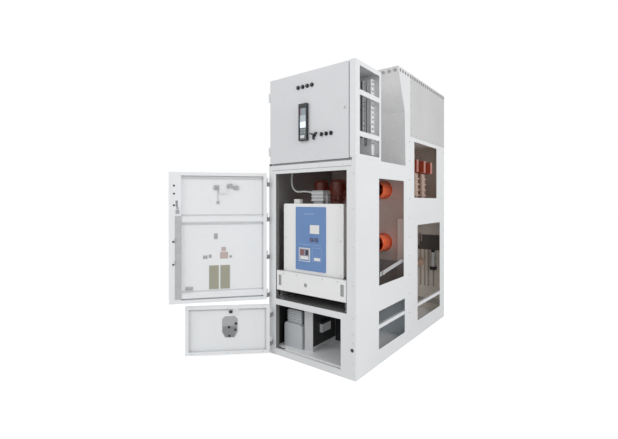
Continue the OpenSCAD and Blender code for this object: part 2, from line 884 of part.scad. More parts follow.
module lv_switches() {
    lamp_t = lamp_d / 2;
    lamp_neck = 0.4 * lamp_d;
    lamp_rim = 0.6 * lamp_t;
    grip_t = 0.65 * switch_d;
    grip_w = switch_d / 4;
    arms = [30, 150, 270];
    z = roof_z + switch_up;
    color(dark) {
        for (i = [0 : lamps - 1]) {
            turned_y(upper_pin + lamp_x + i * lamp_pitch, lv_pin_y - lamp_t, roof_z + lamp_up, [
                [0, 0], [lamp_neck - lamp_t / 5, 0], [lamp_neck, lamp_t / 5], [lamp_neck, lamp_rim],
                [lamp_d / 2, lamp_rim], [lamp_d / 2, lamp_t], [0, lamp_t]
            ]);
        }
        for (i = [0 : switches - 1]) {
            x = upper_pin + switch_x + i * switch_pitch;
            switch_rose(x, z);
            block(x - grip_w / 2, x + grip_w / 2, lv_pin_y - grip_t, lv_pin_y - bite, z - switch_d * 0.4,
                z + switch_d * 0.4);
        }
        switch_rose(upper_pin + selector_x, z);
        for (a = arms) {
            translate([upper_pin + selector_x, lv_pin_y - grip_t, z]) rotate([0, -a, 0])
                block(0, selector_l, 0, grip_t - bite, -grip_w / 2, grip_w / 2);
        }
    }
}

// Round rose of a switch on the control door
module switch_rose(x, z) {
    rose_t = switch_d / 5;
    turned_y(x, lv_pin_y - rose_t, z, [
        [0, 0], [switch_d * 0.42, 0], [switch_d / 2, rose_t / 3], [switch_d / 2, rose_t], [0, rose_t]
    ]);
}

module breaker_door_panel() {
    color(white) hung(upper_pin, door_pin_y, breaker_door_deg) {
        door_tray(breaker_door_w, breaker_door_z, breaker_door_h, door_lip);
        door_hinges_half(breaker_hinge_z);
    }
}

// Folded hat stiffener across the inside of a door
module hat(x0, x1, z0, z1, slope) {
    rise = door_t - sheet;
    difference() {
        side_profile([[sheet, z0], [door_t, z0 + slope], [door_t, z1 - slope], [sheet, z1]], x0, x1 - x0);
        side_profile([[sheet - bite, z0 + 2 * sheet], [rise, z0 + slope + sheet], [rise, z1 - slope - sheet],
            [sheet - bite, z1 - 2 * sheet]], x0 - bite, x1 - x0 + 2 * bite);
    }
}

// Closed channel along the free edge of a door, with slots for the lock bar
module lock_channel(x0, x1, z0, z1) {
    slot_w = (x1 - x0) / 4;
    slots = 3;
    difference() {
        block(x0, x1, sheet, door_t, z0, z1);
        block(x0 + sheet, x1 - sheet, sheet - bite, door_t - sheet, z0 - bite, z1 + bite);
        for (i = [1 : slots]) {
            z = z0 + (z1 - z0) * i / (slots + 1);
            block((x0 + x1 - slot_w) / 2, (x0 + x1 + slot_w) / 2, door_t - 2 * sheet, door_t + bite, z,
                z + lock_slot_h);
        }
    }
}

module breaker_door_stiffeners() {
    x0 = pin_edge + door_lip;
    x1 = breaker_door_w - door_lip;
    z0 = breaker_door_z + door_lip;
    mid_z = breaker_door_z + stiffener_z;
    slope = 12;
    color(white) hung(upper_pin, door_pin_y, breaker_door_deg) {
        hat(x0, x1 - lock_w, mid_z, mid_z + stiffener_h, slope);
        hat(x0, x1 - lock_w, z0, z0 + stiffener_h, slope);
        lock_channel(x1 - lock_w, x1, z0, breaker_door_z + breaker_door_h - door_lip);
    }
}

// Swing handle on the outside of a door, with its rose
module handle(x, z) {
    rose_t = 4;
    grip_l = handle_l - 4 * rose_t;
    block(x - handle_w / 2, x + handle_w / 2, -rose_t, 0, z - handle_l / 2, z + handle_l / 2);
    block(x - handle_w / 3, x + handle_w / 3, -handle_t, -rose_t, z - grip_l / 2, z + grip_l / 2);
}

module breaker_door_handle() {
    color(dark) hung(upper_pin, door_pin_y, breaker_door_deg)
        handle(breaker_door_w - lock_w / 2, breaker_door_z + breaker_door_h / 2);
}

module lower_door_panel() {
    color(white) hung(lower_pin, door_pin_y, lower_door_deg) {
        door_tray(lower_door_w, lower_door_z, lower_door_h, door_lip);
        door_hinges_half(lower_hinge_z);
    }
}

module lower_door_handle() {
    color(dark) hung(lower_pin, door_pin_y, lower_door_deg)
        handle(lower_door_w - lock_w / 2, lower_door_z + lower_door_h / 2);
}

module truck_chassis() {
    plate_drop = 10;
    skirt = 45;
    plate_z = truck_panel_z - plate_drop;
    deck_x = chassis_x - bite;
    y0 = fy(chassis_y);
    y1 = fy(chassis_y + chassis_l);
    color(steel) {
        for (s = [-1, 1]) {
            on_side(s) block(chassis_x - chassis_t, chassis_x, y0, y1, plate_z - skirt, chassis_top);
        }
        block(-deck_x, deck_x, y0, y1, plate_z, plate_z + chassis_t);
        block(-deck_x, deck_x, y0, y1, chassis_top - chassis_t, chassis_top);
        block(-deck_x, deck_x, y1 - chassis_t, y1, plate_z, chassis_top);
    }
}

module truck_wheels() {
    hub_d = 24;
    front_axle = 90;
    rear_axle = chassis_l - 60;
    color(steel) for (s = [-1, 1], d = [front_axle, rear_axle]) {
        translate([s * chassis_x, fy(chassis_y + d), wheel_z]) rotate([0, s * 90, 0]) {
            cylinder(d = hub_d, h = hub_t);
            translate([0, 0, hub_t]) cylinder(d = wheel_d, h = wheel_w);
        }
    }
}

module truck_front_panel() {
    latch_w = 26;
    latch_h = 80;
    latch_x = truck_x - 34;
    latch_z = truck_panel_z + 38;
    racking_d = 30;
    racking_x = -33;
    racking_z = truck_panel_z + 70;
    y0 = fy(truck_y);
    color(beige) difference() {
        block(-truck_x, truck_x, y0, y0 + panel_return, truck_panel_z, chassis_top);
        block(-truck_x - bite, truck_x + bite, y0 + sheet, y0 + panel_return + bite, truck_panel_z + sheet,
            chassis_top - sheet);
        bar_y_round(racking_x, y0 - bite, y0 + sheet + bite, racking_z, racking_d);
        for (s = [-1, 1]) {
            x0 = s * latch_x - latch_w / 2;
            block(x0, x0 + latch_w, y0 - bite, y0 + sheet + bite, latch_z, latch_z + latch_h);
        }
    }
}

module mechanism_housing() {
    color(steel) block(-housing_x, housing_x, fy(housing_y), fy(housing_back), cover_z, cover_z + housing_h);
}

module breaker_cover() {
    color(beige) translate([0, fy(housing_y), 0]) rotate([90, 0, 0]) difference() {
        linear_extrude(cover_t) rounded(-cover_x, cover_x, cover_z, cover_z + cover_h, cover_r);
        translate([0, 0, -bite]) linear_extrude(cover_t - sheet + bite)
            rounded(sheet - cover_x, cover_x - sheet, cover_z + sheet, cover_z + cover_h - sheet,
                cover_r - sheet);
    }
}

// Rectangle with round corners
module rounded(x0, x1, y0, y1, r) {
    translate([x0 + r, y0]) square([x1 - x0 - 2 * r, y1 - y0]);
    translate([x0, y0 + r]) square([x1 - x0, y1 - y0 - 2 * r]);
    for (x = [x0 + r, x1 - r], y = [y0 + r, y1 - r]) {
        translate([x, y]) circle(r);
    }
}

module operating_panel() {
    color(blue) translate([0, fy(cover_y), 0]) rotate([90, 0, 0]) linear_extrude(panel_t)
        rounded(panel_x0, panel_x0 + panel_w, panel_z0, panel_z0 + panel_h, panel_r);
}

// Raised block on the blue panel, by its shares of the panel and its thickness
module panel_item(item, t) {
    x = panel_x0 + item[0] * panel_w;
    z = panel_z0 + item[1] * panel_h;
    block(x, x + item[2] * panel_w, fy(panel_face_y - t), fy(panel_face_y), z, z + item[3] * panel_h);
}

module panel_controls() {
    item_t = 5;
    label_t = 3;
    button_t = 10;
    button_r = panel_w / 18;
    color(beige) {
        panel_item(window_item, item_t);
        panel_item(counter_item, item_t);
        panel_item(label_item, label_t);
        for (u = button_u) {
            turned_y(panel_x0 + u * panel_w, fy(panel_face_y - button_t), panel_z0 + button_v * panel_h, [
                [0, 0], [0.8 * button_r, 0], [button_r, button_t / 3], [button_r, button_t], [0, button_t]
            ]);
        }
    }
}

module breaker_poles() {
    foot_w = 90;
    foot_h = 300;
    foot_up = 30;
    boss_d = arm_d + 20;
    pole_z0 = lower_arm_z - 110;
    pole_z1 = upper_arm_z + 74;
    color(brown) for (p = phases) {
        x = p * phase_pitch;
        translate([x, fy(pole_y), pole_z0]) rotate_extrude() polygon(pole_outline(pole_z1 - pole_z0));
        block(x - foot_w / 2, x + foot_w / 2, fy(housing_back), fy(pole_y), pole_z0 + foot_up,
            pole_z0 + foot_up + foot_h);
        for (z = [upper_arm_z, lower_arm_z]) {
            bar_y_round(x, fy(pole_y), fy(arm_y), z, boss_d);
        }
    }
}

// Outline of a cast pole with its ribs, by radius and height
function pole_outline(h) = let (
    r = pole_d / 2, edge = pole_rib / 2, ribs = 9, rib_foot = 200, rib_span = h - 330,
    step = [0, 4, 12, 16]
) concat(
    [[0, 0], [r - pole_rib - edge / 2, 0], [r - edge, pole_rib]],
    [for (i = [0 : ribs - 1], k = [0 : 3])
        [r - (k == 1 || k == 2 ? 0 : pole_rib), rib_foot + i * rib_span / (ribs - 1) + step[k]]],
    [[r - edge, h - 5 * edge], [r - 2 * pole_rib, h], [0, h]]
);

module contact_arms() {
    collar = 6;
    collar_l = 10;
    r = arm_d / 2;
    end = arm_l - tulip_sink;
    color(orange) for (p = phases, z = [upper_arm_z, lower_arm_z]) {
        turned_y(p * phase_pitch, fy(arm_y), z, [
            [0, 0], [r + collar, 0], [r + collar, collar_l], [r, collar_l + collar], [r, end - collar_l],
            [r - collar, end], [0, end]
        ]);
    }
}

module tulip_contacts() {
    r = tulip_d / 2;
    bore = rod_d / 2 + 1;
    lip = 8;
    ring = 22;
    groove = 4;
    slot_w = 3;
    slot_y = tulip_floor + groove;
    color(copper) for (p = phases, z = [upper_arm_z, lower_arm_z]) {
        difference() {
            turned_y(p * phase_pitch, fy(tulip_y), z, [
                [0, 0], [r - lip, 0], [r, lip], [r, ring], [r - groove, ring + groove],
                [r - groove, tulip_l - ring - groove], [r, tulip_l - ring], [r, tulip_l - lip],
                [r - lip, tulip_l], [bore + groove / 2, tulip_l], [bore, tulip_l - lip],
                [bore, tulip_floor], [0, tulip_floor]
            ]);
            for (i = [0 : tulip_fingers / 2 - 1]) {
                translate([p * phase_pitch, fy(tulip_y + slot_y), z]) rotate([0, i * 360 / tulip_fingers, 0])
                    translate([-tulip_d, 0, -slot_w / 2]) cube([2 * tulip_d, tulip_l, slot_w]);
            }
        }
    }
}

module control_plug() {
    edge = 9;
    x0 = plug_x - plug_w / 2;
    x1 = plug_x + plug_w / 2;
    y0 = fy(plug_y - plug_d / 2);
    y1 = fy(plug_y + plug_d / 2);
    body_z = plug_z + plug_foot_h;
    color(grey) {
        block(x0 + edge, x1 - edge, y0 + edge, y1 - edge, plug_z, body_z);
        block(x0, x1, y0, y1, body_z, body_z + plug_h);
    }
}

module conduit_gland() {
    gland_d = 30;
    top = conduit_route[0];
    color(dark) translate([top[0], fy(top[1]), top[2] + seat])
        cylinder(d = gland_d, h = roof_under - top[2] - seat);
}

module control_conduit() {
    color(grey) conduit_tube([for (p = conduit_route) [p[0], fy(p[1]), p[2]]], conduit_d / 2, conduit_sides);
}

// Unit vector
function unit(v) = v / norm(v);
// Direction of a route at one of its points
function along(path, i) = unit(path[min(i + 1, len(path) - 1)] - path[max(i - 1, 0)]);

// Tube swept along a route that lies in a plane of constant Y
module conduit_tube(path, r, sides) {
    rings = [for (i = [0 : len(path) - 1]) let (t = along(path, i), n = [t[2], 0, -t[0]])
        for (k = [0 : sides - 1]) let (a = 360 * k / sides) path[i] + r * (cos(a) * n + sin(a) * [0, 1, 0])];
    sides_faces = [for (i = [0 : len(path) - 2], k = [0 : sides - 1])
        let (a = i * sides + k, b = i * sides + (k + 1) % sides) [a, a + sides, b + sides, b]];
    first = [for (k = [0 : sides - 1]) k];
    last = [for (k = [sides - 1 : -1 : 0]) (len(path) - 1) * sides + k];
    polyhedron(rings, concat([first], sides_faces, [last]));
}

module floor_plates() {
    cable_entry_d = 90;
    color(grey) {
        block(-in_w, in_w, fy(jamb), fy(partition_y), base_h, base_h + sheet);
        difference() {
            block(-in_w, in_w, fy(partition_y + sheet), fy(depth - sheet), base_h, base_h + sheet);
            for (p = phases) {
                translate([p * phase_pitch, fy(cable_bar_y), base_h - bite])
                    cylinder(d = cable_entry_d, h = sheet + 2 * bite);
            }
        }
    }
}

module side_rails() {
    front_play = 20;
    x0 = in_w - side_rail_t;
    z1 = side_rail_z + side_rail_h;
    color(white) for (s = [-1, 1]) {
        on_side(s) {
            block(x0, in_w, fy(jamb + front_play), fy(partition_y), side_rail_z, z1);
            block(x0, in_w, fy(partition_y + sheet), fy(depth - sheet), side_rail_z, z1);
        }
    }
}

module contact_spouts() {
    ro = spout_d / 2;
    ri = spout_in / 2;
    rim = spout_flange_d / 2;
    hole = rod_d / 2 + seat;
    front = partition_y - mouth_y;
    back = front + sheet + spout_back;
    flange_t = 12;
    end_t = 10;
    edge = 3;
    color(orange) for (p = phases, z = [upper_arm_z, lower_arm_z]) {
        turned_y(p * phase_pitch, fy(mouth_y), z, [
            [ri, 0], [ro - edge, 0], [ro, edge], [ro, front - flange_t], [rim, front - flange_t],
            [rim, front], [ro, front], [ro, back], [hole, back], [hole, back - end_t], [ri, back - end_t]
        ]);
    }
}

module contact_bars() {
    rod_end = fy(spout_end + bite);
    color(copper) for (i = [0 : len(phases) - 1]) {
        x = phases[i] * phase_pitch;
        x0 = x - branch_w / 2;
        x1 = x + branch_w / 2;
        y = busbar_y + i * busbar_pitch;
        for (z = [upper_arm_z, lower_arm_z]) {
            bar_y_round(x, fy(rod_front), rod_end, z, rod_d);
        }
        block(x0, x1, fy(spout_end), fy(y + bar_t / 2), upper_arm_z - bar_t, upper_arm_z + bar_t);
        block(x0, x1, fy(y - bar_t / 2), fy(y + bar_t / 2), upper_arm_z - bar_t, busbar_z - busbar_h / 2);
        block(x0, x1, fy(spout_end), fy(ct_y), lower_arm_z - bar_t, lower_arm_z + bar_t);
    }
}

module main_busbars() {
    color(orange) for (i = [0 : len(phases) - 1]) {
        y = busbar_y + i * busbar_pitch;
        block(-in_w, in_w, fy(y - busbar_t / 2), fy(y + busbar_t / 2), busbar_z - busbar_h / 2,
            busbar_z + busbar_h / 2);
    }
}

module busbar_posts() {
    x = in_w - busbar_post_in;
    color(orange) for (i = [0 : len(phases) - 1], s = [-1, 1]) {
        post(s * x, fy(busbar_y + i * busbar_pitch), busbar_floor_z, post_h, post_d);
    }
}

module current_transformers() {
    shoulder = 30;
    fin_t = 14;
    fin = 8;
    fins = 5;
    head_x = ct_w / 2 - shoulder - 20;
    head_in = 60;
    x = ct_w / 2;
    color(dark) for (p = phases) {
        translate([p * phase_pitch, 0, 0]) {
            translate([0, fy(ct_y + ct_l), ct_z]) rotate([90, 0, 0]) linear_extrude(ct_l) polygon([
                [-x + fin, 0], [x - fin, 0], [x - fin, ct_h - shoulder], [x - fin - shoulder, ct_h],
                [shoulder + fin - x, ct_h], [fin - x, ct_h - shoulder]
            ]);
            for (i = [1 : fins]) {
                y = ct_y + ct_l * i / (fins + 1);
                block(-x, x, fy(y - fin_t / 2), fy(y + fin_t / 2), ct_z - fin, ct_z + ct_h - shoulder - fin);
            }
            block(-head_x, head_x, fy(ct_y + head_in), fy(ct_y + ct_l - head_in), ct_z + ct_h - bite,
                busbar_floor_z - sheet);
        }
    }
}

module cable_bars() {
    lug_holes = [30, 80];
    bar_head = 50;
    y0 = fy(cable_bar_y);
    color(copper) for (p = phases) {
        x = p * phase_pitch;
        difference() {
            block(x - branch_w / 2, x + branch_w / 2, y0, y0 + bar_t, cable_end_z, lower_arm_z + bar_head);
            for (d = lug_holes) {
                bar_y_round(x, y0 - bite, y0 + bar_t + bite, cable_end_z + d, cable_hole_d);
            }
        }
    }
}

module cable_posts() {
    post_up = 160;
    post_l = depth - sheet - cable_bar_y - bar_t;
    color(beige) for (p = phases) {
        translate([p * phase_pitch, fy(cable_bar_y + bar_t), cable_end_z + post_up]) rotate([-90, 0, 0])
            post(0, 0, 0, post_l, post_d);
    }
}

module earth_bar() {
    bar_w = 50;
    bar_up = 120;
    end_play = 30;
    bar_x = in_w - end_play;
    color(copper) block(-bar_x, bar_x, fy(depth - sheet - bar_t), fy(depth - sheet), bar_up, bar_up + bar_w);
}

module voltage_transformer() {
    x = vt_x;
    y = vt_y;
    z = base_h + sheet;
    neck_h = 100;
    neck_in = 15;
    fin = 6;
    fins = 4;
    core_in = neck_in + fin;
    color(grey) {
        translate([x, fy(y + vt_l), z]) rotate([90, 0, 0]) linear_extrude(vt_l) polygon([
            [0, 0], [vt_w, 0], [vt_w, vt_h - neck_in], [vt_w - neck_in, vt_h], [neck_in, vt_h],
            [0, vt_h - neck_in]
        ]);
        block(x + core_in, x + vt_w - core_in, fy(y + core_in), fy(y + vt_l - core_in), z + vt_h - bite,
            z + vt_h + neck_h);
        for (i = [1 : fins]) {
            fin_z = z + vt_h + neck_h * i / (fins + 1);
            block(x + neck_in, x + vt_w - neck_in, fy(y + neck_in), fy(y + vt_l - neck_in), fin_z,
                fin_z + fin);
        }
    }
}

module divider_plate() {
    x0 = divider_x;
    x1 = x0 + divider_w;
    box_share = 0.28;
    box_drop = 0.8;
    box_y = divider_y + box_share * divider_l;
    box_z = (base_h + sill_z) / 2 - box_drop * box_h;
    color(grey) {
        block(x0, x1, fy(divider_y), fy(divider_y + sheet), base_h + sheet, sill_z - sheet);
        block(x1 - sheet, x1, fy(divider_y), fy(divider_y + divider_l), base_h + sheet, sill_z - sheet);
        block(x1 - bite, x1 + box_w, fy(box_y), fy(box_y + box_l), box_z, box_z + box_h);
    }
}

// Wiring trunk standing on the right of the partition
module wiring_trunk() {
    side_play = 20;
    x1 = in_w - side_play;
    x0 = x1 - trunk_w;
    y0 = fy(partition_y - trunk_t);
    z1 = sill_z + trunk_h;
    color(beige) difference() {
        block(x0, x1, y0, fy(partition_y), sill_z, z1);
        block(x0 + sheet, x1 - sheet, y0 + sheet, fy(partition_y + bite), sill_z + sheet, z1 - sheet);
    }
}

// Inclined lever on the right wall that works the contact shutters
module shutter_lever() {
    front_end = 380;
    lever_drop = 24;
    pivot_in = 40;
    lever_t = 6;
    pivot_d = 26;
    stand = 3 * lever_t;
    z0 = chassis_top - lever_drop;
    slope = lever_rise / (rail_end - front_end);
    color(steel) {
        side_profile([
            [fy(front_end), z0], [fy(rail_end), z0 + lever_rise],
            [fy(rail_end), z0 + lever_rise + lever_h], [fy(front_end), z0 + lever_h]
        ], in_w - stand, lever_t);
        for (y = [front_end + pivot_in, rail_end - pivot_in]) {
            z = z0 + slope * (y - front_end) + lever_h / 2;
            translate([in_w - stand + bite, fy(y), z]) rotate([0, 90, 0])
                cylinder(d = pivot_d, h = stand - bite);
        }
    }
}

base_frame();
front_frame();
left_front_wall();
left_rear_wall();
right_front_wall();
right_rear_wall();
mid_partition();
breaker_floor();
truck_rails();
breaker_roof();
busbar_floor();
busbar_roof();
rear_covers();
duct_front();
duct_side_panels();
duct_top();
relief_flaps();
lv_left_wall();
lv_right_frame();
lv_back();
lv_top();
lv_wire_ducts();
lv_terminals();
door_hinges();
floor_plates();
side_rails();
contact_spouts();
contact_bars();
main_busbars();
busbar_posts();
current_transformers();
cable_bars();
cable_posts();
earth_bar();
voltage_transformer();
divider_plate();
wiring_trunk();
shutter_lever();
conduit_gland();
lv_door_panel();
relay();
lv_switches();
breaker_door_panel();
breaker_door_stiffeners();
breaker_door_handle();
lower_door_panel();
lower_door_handle();
truck_chassis();
truck_wheels();
truck_front_panel();
mechanism_housing();
breaker_cover();
operating_panel();
panel_controls();
breaker_poles();
contact_arms();
tulip_contacts();
control_plug();
control_conduit();
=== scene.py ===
"""Looks of a metal-clad switchgear cubicle: finishes, small fittings, studio and camera."""
import json
import math
import bmesh
import bpy
from mathutils import Matrix, Vector


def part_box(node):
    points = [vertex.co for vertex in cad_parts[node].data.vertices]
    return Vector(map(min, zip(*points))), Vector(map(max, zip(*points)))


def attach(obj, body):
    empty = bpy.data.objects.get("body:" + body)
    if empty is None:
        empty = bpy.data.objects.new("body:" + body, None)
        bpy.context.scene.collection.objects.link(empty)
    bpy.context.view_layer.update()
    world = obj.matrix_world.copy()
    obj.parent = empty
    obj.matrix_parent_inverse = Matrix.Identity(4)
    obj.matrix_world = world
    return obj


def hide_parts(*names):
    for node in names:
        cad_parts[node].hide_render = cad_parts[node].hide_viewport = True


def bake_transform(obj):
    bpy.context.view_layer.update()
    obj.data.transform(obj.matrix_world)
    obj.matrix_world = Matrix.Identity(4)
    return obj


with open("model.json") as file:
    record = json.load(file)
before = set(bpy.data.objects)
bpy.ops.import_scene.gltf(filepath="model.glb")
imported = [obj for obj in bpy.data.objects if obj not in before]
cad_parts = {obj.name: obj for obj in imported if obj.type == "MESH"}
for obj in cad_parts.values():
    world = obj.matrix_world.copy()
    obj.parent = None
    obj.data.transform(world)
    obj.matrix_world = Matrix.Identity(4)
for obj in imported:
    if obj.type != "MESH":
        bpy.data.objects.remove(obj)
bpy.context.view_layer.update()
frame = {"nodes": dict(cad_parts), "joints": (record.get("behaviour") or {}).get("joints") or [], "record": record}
joints = {j["name"]: j for j in frame["joints"]}
MM = 0.001

# Camera solved from the photograph: place, heading and lens, with the lens level
PHOTO_W = 618.0
PHOTO_FOCAL_PX = 371.75
PHOTO_HORIZON_PX = 18.27
CAMERA_AT = Vector((1.6817, -3.0541, 1.2099))
CAMERA_HEADING_DEG = 37.92
CAMERA_LEVEL_DEG = 90
SENSOR_MM = 36.0


def add_object(name, data):
    """New object in the scene."""
    obj = bpy.data.objects.new(name, data)
    bpy.context.scene.collection.objects.link(obj)
    return obj


def set_camera():
    """Camera of the photograph, shifted so that the horizon lies where it does there."""
    data = bpy.data.cameras.new("photo_camera")
    data.sensor_width = SENSOR_MM
    data.lens = SENSOR_MM * PHOTO_FOCAL_PX / PHOTO_W
    data.shift_y = -PHOTO_HORIZON_PX / PHOTO_W
    camera = add_object("photo_camera", data)
    camera.location = CAMERA_AT
    camera.rotation_euler = (math.radians(CAMERA_LEVEL_DEG), 0, math.radians(CAMERA_HEADING_DEG))
    bpy.context.scene.camera = camera


def mm_box(node):
    """Lowest and highest corner of a node at rest, in millimetres."""
    low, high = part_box(node)
    return low / MM, high / MM


# Finishes: linear colours, noise scales per metre, and depths of relief in metres
NOISE_SPAN = (0.3, 0.7)
ROLLED = (1, 1, 0.2)
DRAWN = (1, 1, 0.15)
ORANGE_PEEL = {"scale": 420, "detail": 1, "strength": 0.06, "depth": 0.0004}


class Nodes:
    """A node tree under construction."""

    def __init__(self, tree):
        self.tree = tree

    def add(self, kind, **values):
        """New node, with values for its sockets or properties."""
        node = self.tree.nodes.new(kind)
        for key, value in values.items():
            if key in node.inputs:
                node.inputs[key].default_value = value
            else:
                setattr(node, key, value)
        return node

    def link(self, source, target):
        self.tree.links.new(source, target)

    def spread(self, value, low, high, span=NOISE_SPAN):
        """Maps a span of values on low to high."""
        limits = {"From Min": span[0], "From Max": span[1], "To Min": low, "To Max": high}
        node = self.add("ShaderNodeMapRange", **limits)
        self.link(value, node.inputs["Value"])
        return node.outputs["Result"]

    def math(self, operation, a, b=0):
        """One sum of outputs or plain numbers."""
        node = self.add("ShaderNodeMath", operation=operation)
        for socket, value in zip(node.inputs, (a, b)):
            if isinstance(value, (int, float)):
                socket.default_value = value
            else:
                self.link(value, socket)
        return node.outputs["Value"]


class Finish(Nodes):
    """A material under construction, with its principled shader and object coordinates."""

    def __init__(self, name):
        self.material = bpy.data.materials.new(name)
        self.material.use_nodes = True
        super().__init__(self.material.node_tree)
        self.shader = self.tree.nodes["Principled BSDF"]
        self.coords = self.add("ShaderNodeTexCoord").outputs["Object"]

    def into(self, source, socket):
        self.link(source, self.shader.inputs[socket])

    def set(self, socket, value):
        self.shader.inputs[socket].default_value = value

    def axis(self, name):
        node = self.add("ShaderNodeSeparateXYZ")
        self.link(self.coords, node.inputs["Vector"])
        return node.outputs[name]

    def noise(self, scale, detail, stretch=None):
        """Cloudy noise, stretched where each axis has its own scale."""
        node = self.add("ShaderNodeTexNoise", Scale=scale, Detail=detail)
        place = self.coords
        if stretch:
            mapping = self.add("ShaderNodeMapping", Scale=stretch)
            self.link(self.coords, mapping.inputs["Vector"])
            place = mapping.outputs["Vector"]
        self.link(place, node.inputs["Vector"])
        return node.outputs["Fac"]

    def mix(self, factor, a, b):
        """Mixes two colours, each an output or a plain colour."""
        node = self.add("ShaderNodeMix", data_type="RGBA")
        sockets = [s for s in node.inputs if s.type == "RGBA"]
        for socket, value in zip(sockets, (a, b)):
            if isinstance(value, tuple):
                socket.default_value = (*value, 1)
            else:
                self.link(value, socket)
        self.link(factor, node.inputs["Factor"])
        return [s for s in node.outputs if s.type == "RGBA"][0]

    def drift(self, colour, dark, bright, scale, detail):
        """Base colour that drifts between a darker and a brighter shade."""
        tone = self.mix(self.noise(scale, detail), shade(colour, dark), shade(colour, bright))
        self.into(tone, "Base Color")

    def rough(self, low, high, scale, detail, stretch=None):
        """Roughness that drifts between two values."""
        self.into(self.spread(self.noise(scale, detail, stretch), low, high), "Roughness")

    def bump(self, scale, detail, strength, depth):
        """Fine relief of the surface."""
        node = self.add("ShaderNodeBump", Strength=strength, Distance=depth)
        self.link(self.noise(scale, detail), node.inputs["Height"])
        self.into(node.outputs["Normal"], "Normal")


def shade(colour, factor):
    """Colour times a factor, kept in range."""
    return tuple(min(1.0, c * factor) for c in colour)


def grime(f, colour):
    """Slow tone changes with faint handling marks that gather in patches."""
    tone = f.spread(f.noise(scale=1.6, detail=3), low=0, high=1)
    clean = f.mix(tone, shade(colour, 0.97), shade(colour, 1.015))
    marks = f.spread(f.noise(scale=23, detail=5), low=0, high=0.12, span=(0.56, 0.8))
    return f.mix(marks, clean, shade(colour, 0.72))


def spangle(f, colour):
    """Zinc crystals: small cells of slightly different tone over slow rolling streaks."""
    cells = f.add("ShaderNodeTexVoronoi", Scale=110.0)
    f.link(f.coords, cells.inputs["Vector"])
    tone = f.add("ShaderNodeSeparateColor")
    f.link(cells.outputs["Color"], tone.inputs["Color"])
    fine = f.mix(tone.outputs["Red"], shade(colour, 0.95), shade(colour, 1.05))
    streaks = f.spread(f.noise(scale=4, detail=4, stretch=ROLLED), low=0, high=0.3)
    return f.mix(streaks, fine, shade(colour, 0.82))


def painted(name, colour, rough=0.42):
    """Powder-coated sheet: an even colour with a faint orange peel and slow tone changes."""
    f = Finish(name)
    f.into(grime(f, colour), "Base Color")
    f.rough(rough - 0.05, rough + 0.06, scale=6, detail=2)
    f.bump(**ORANGE_PEEL)
    return f.material


def coated_steel(name, colour, metallic=0.35, rough=0.42):
    """Zinc-coated sheet with a fine spangle."""
    f = Finish(name)
    f.into(spangle(f, colour), "Base Color")
    f.rough(rough - 0.08, rough + 0.1, scale=9, detail=3)
    f.set("Metallic", metallic)
    f.bump(scale=150, detail=2, strength=0.04, depth=0.0004)
    return f.material


# Painted skin of a cabinet sheet in metres, and how metallic its bare side is
SKIN = 0.0022
BARE_METALLIC = 0.2


def cabinet_sheet(name, outside, inside, low_inside=None):
    """Sheet painted on the cabinet's outer faces and bare within, with its own tone below the breaker; a dark
    inner tone is painted shade.
    """
    f = Finish(name)
    low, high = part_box("base_frame")
    side = f.math("GREATER_THAN", f.math("ABSOLUTE", f.axis("X")), high.x - SKIN)
    front = f.math("LESS_THAN", f.axis("Y"), low.y + SKIN)
    back = f.math("GREATER_THAN", f.axis("Y"), high.y - SKIN)
    painted_face = f.math("MAXIMUM", f.math("MAXIMUM", side, front), back)
    below = f.math("LESS_THAN", f.axis("Z"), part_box("breaker_floor")[0].z)
    inner_tone = f.mix(below, spangle(f, inside), spangle(f, low_inside or inside))
    f.into(f.mix(painted_face, inner_tone, grime(f, outside)), "Base Color")
    f.into(f.spread(painted_face, low=BARE_METALLIC, high=0.0, span=(0, 1)), "Metallic")
    f.rough(0.38, 0.5, scale=6, detail=2)
    f.bump(**ORANGE_PEEL)
    return f.material


def hinge_finish(name, colour, upper_colour, height):
    """Hinge steel below a height, and painted hinges above it."""
    f = Finish(name)
    above = f.math("GREATER_THAN", f.axis("Z"), height)
    f.into(f.mix(above, grime(f, colour), grime(f, upper_colour)), "Base Color")
    f.rough(0.38, 0.5, scale=30, detail=2)
    f.bump(scale=300, detail=1, strength=0.05, depth=0.0003)
    return f.material


def plastic(name, colour, rough=0.5):
    """Moulded plastic with a fine grain."""
    f = Finish(name)
    f.drift(colour, 0.9, 1.1, scale=14, detail=3)
    f.rough(rough - 0.06, rough + 0.06, scale=25, detail=2)
    f.bump(scale=600, detail=1, strength=0.08, depth=0.0003)
    return f.material


def resin(name, colour, rough=0.28):
    """Cast resin: glossy, with faint flow marks."""
    f = Finish(name)
    f.drift(colour, 0.86, 1.1, scale=5, detail=4)
    f.rough(rough - 0.06, rough + 0.12, scale=18, detail=3)
    f.set("Coat Weight", 0.25)
    f.bump(scale=60, detail=2, strength=0.05, depth=0.0006)
    return f.material


def metal(name, colour, rough=0.3):
    """Bare metal with drawn streaks and dull patches."""
    f = Finish(name)
    f.drift(colour, 0.82, 1.08, scale=11, detail=4)
    f.rough(rough - 0.08, rough + 0.14, scale=40, detail=3, stretch=DRAWN)
    f.set("Metallic", 0.9)
    f.bump(scale=300, detail=2, strength=0.05, depth=0.0003)
    return f.material


def screen(name, colour, glow):
    """Glowing face behind glass with faint lines across: the display's back light, and painted light on the
    relay's face bands.
    """
    f = Finish(name)
    lines = f.add("ShaderNodeTexWave", Scale=300.0, bands_direction="Z")
    f.link(f.coords, lines.inputs["Vector"])
    tone = f.mix(lines.outputs["Fac"], shade(colour, 0.9), shade(colour, 1.05))
    f.into(tone, "Base Color")
    f.into(tone, "Emission Color")
    f.set("Emission Strength", glow)
    f.set("Roughness", 0.12)
    return f.material


# Place of the blue panel's buttons as a share of its height, and their reach in metres
BUTTON_V = 0.49
BUTTON_REACH = 0.02


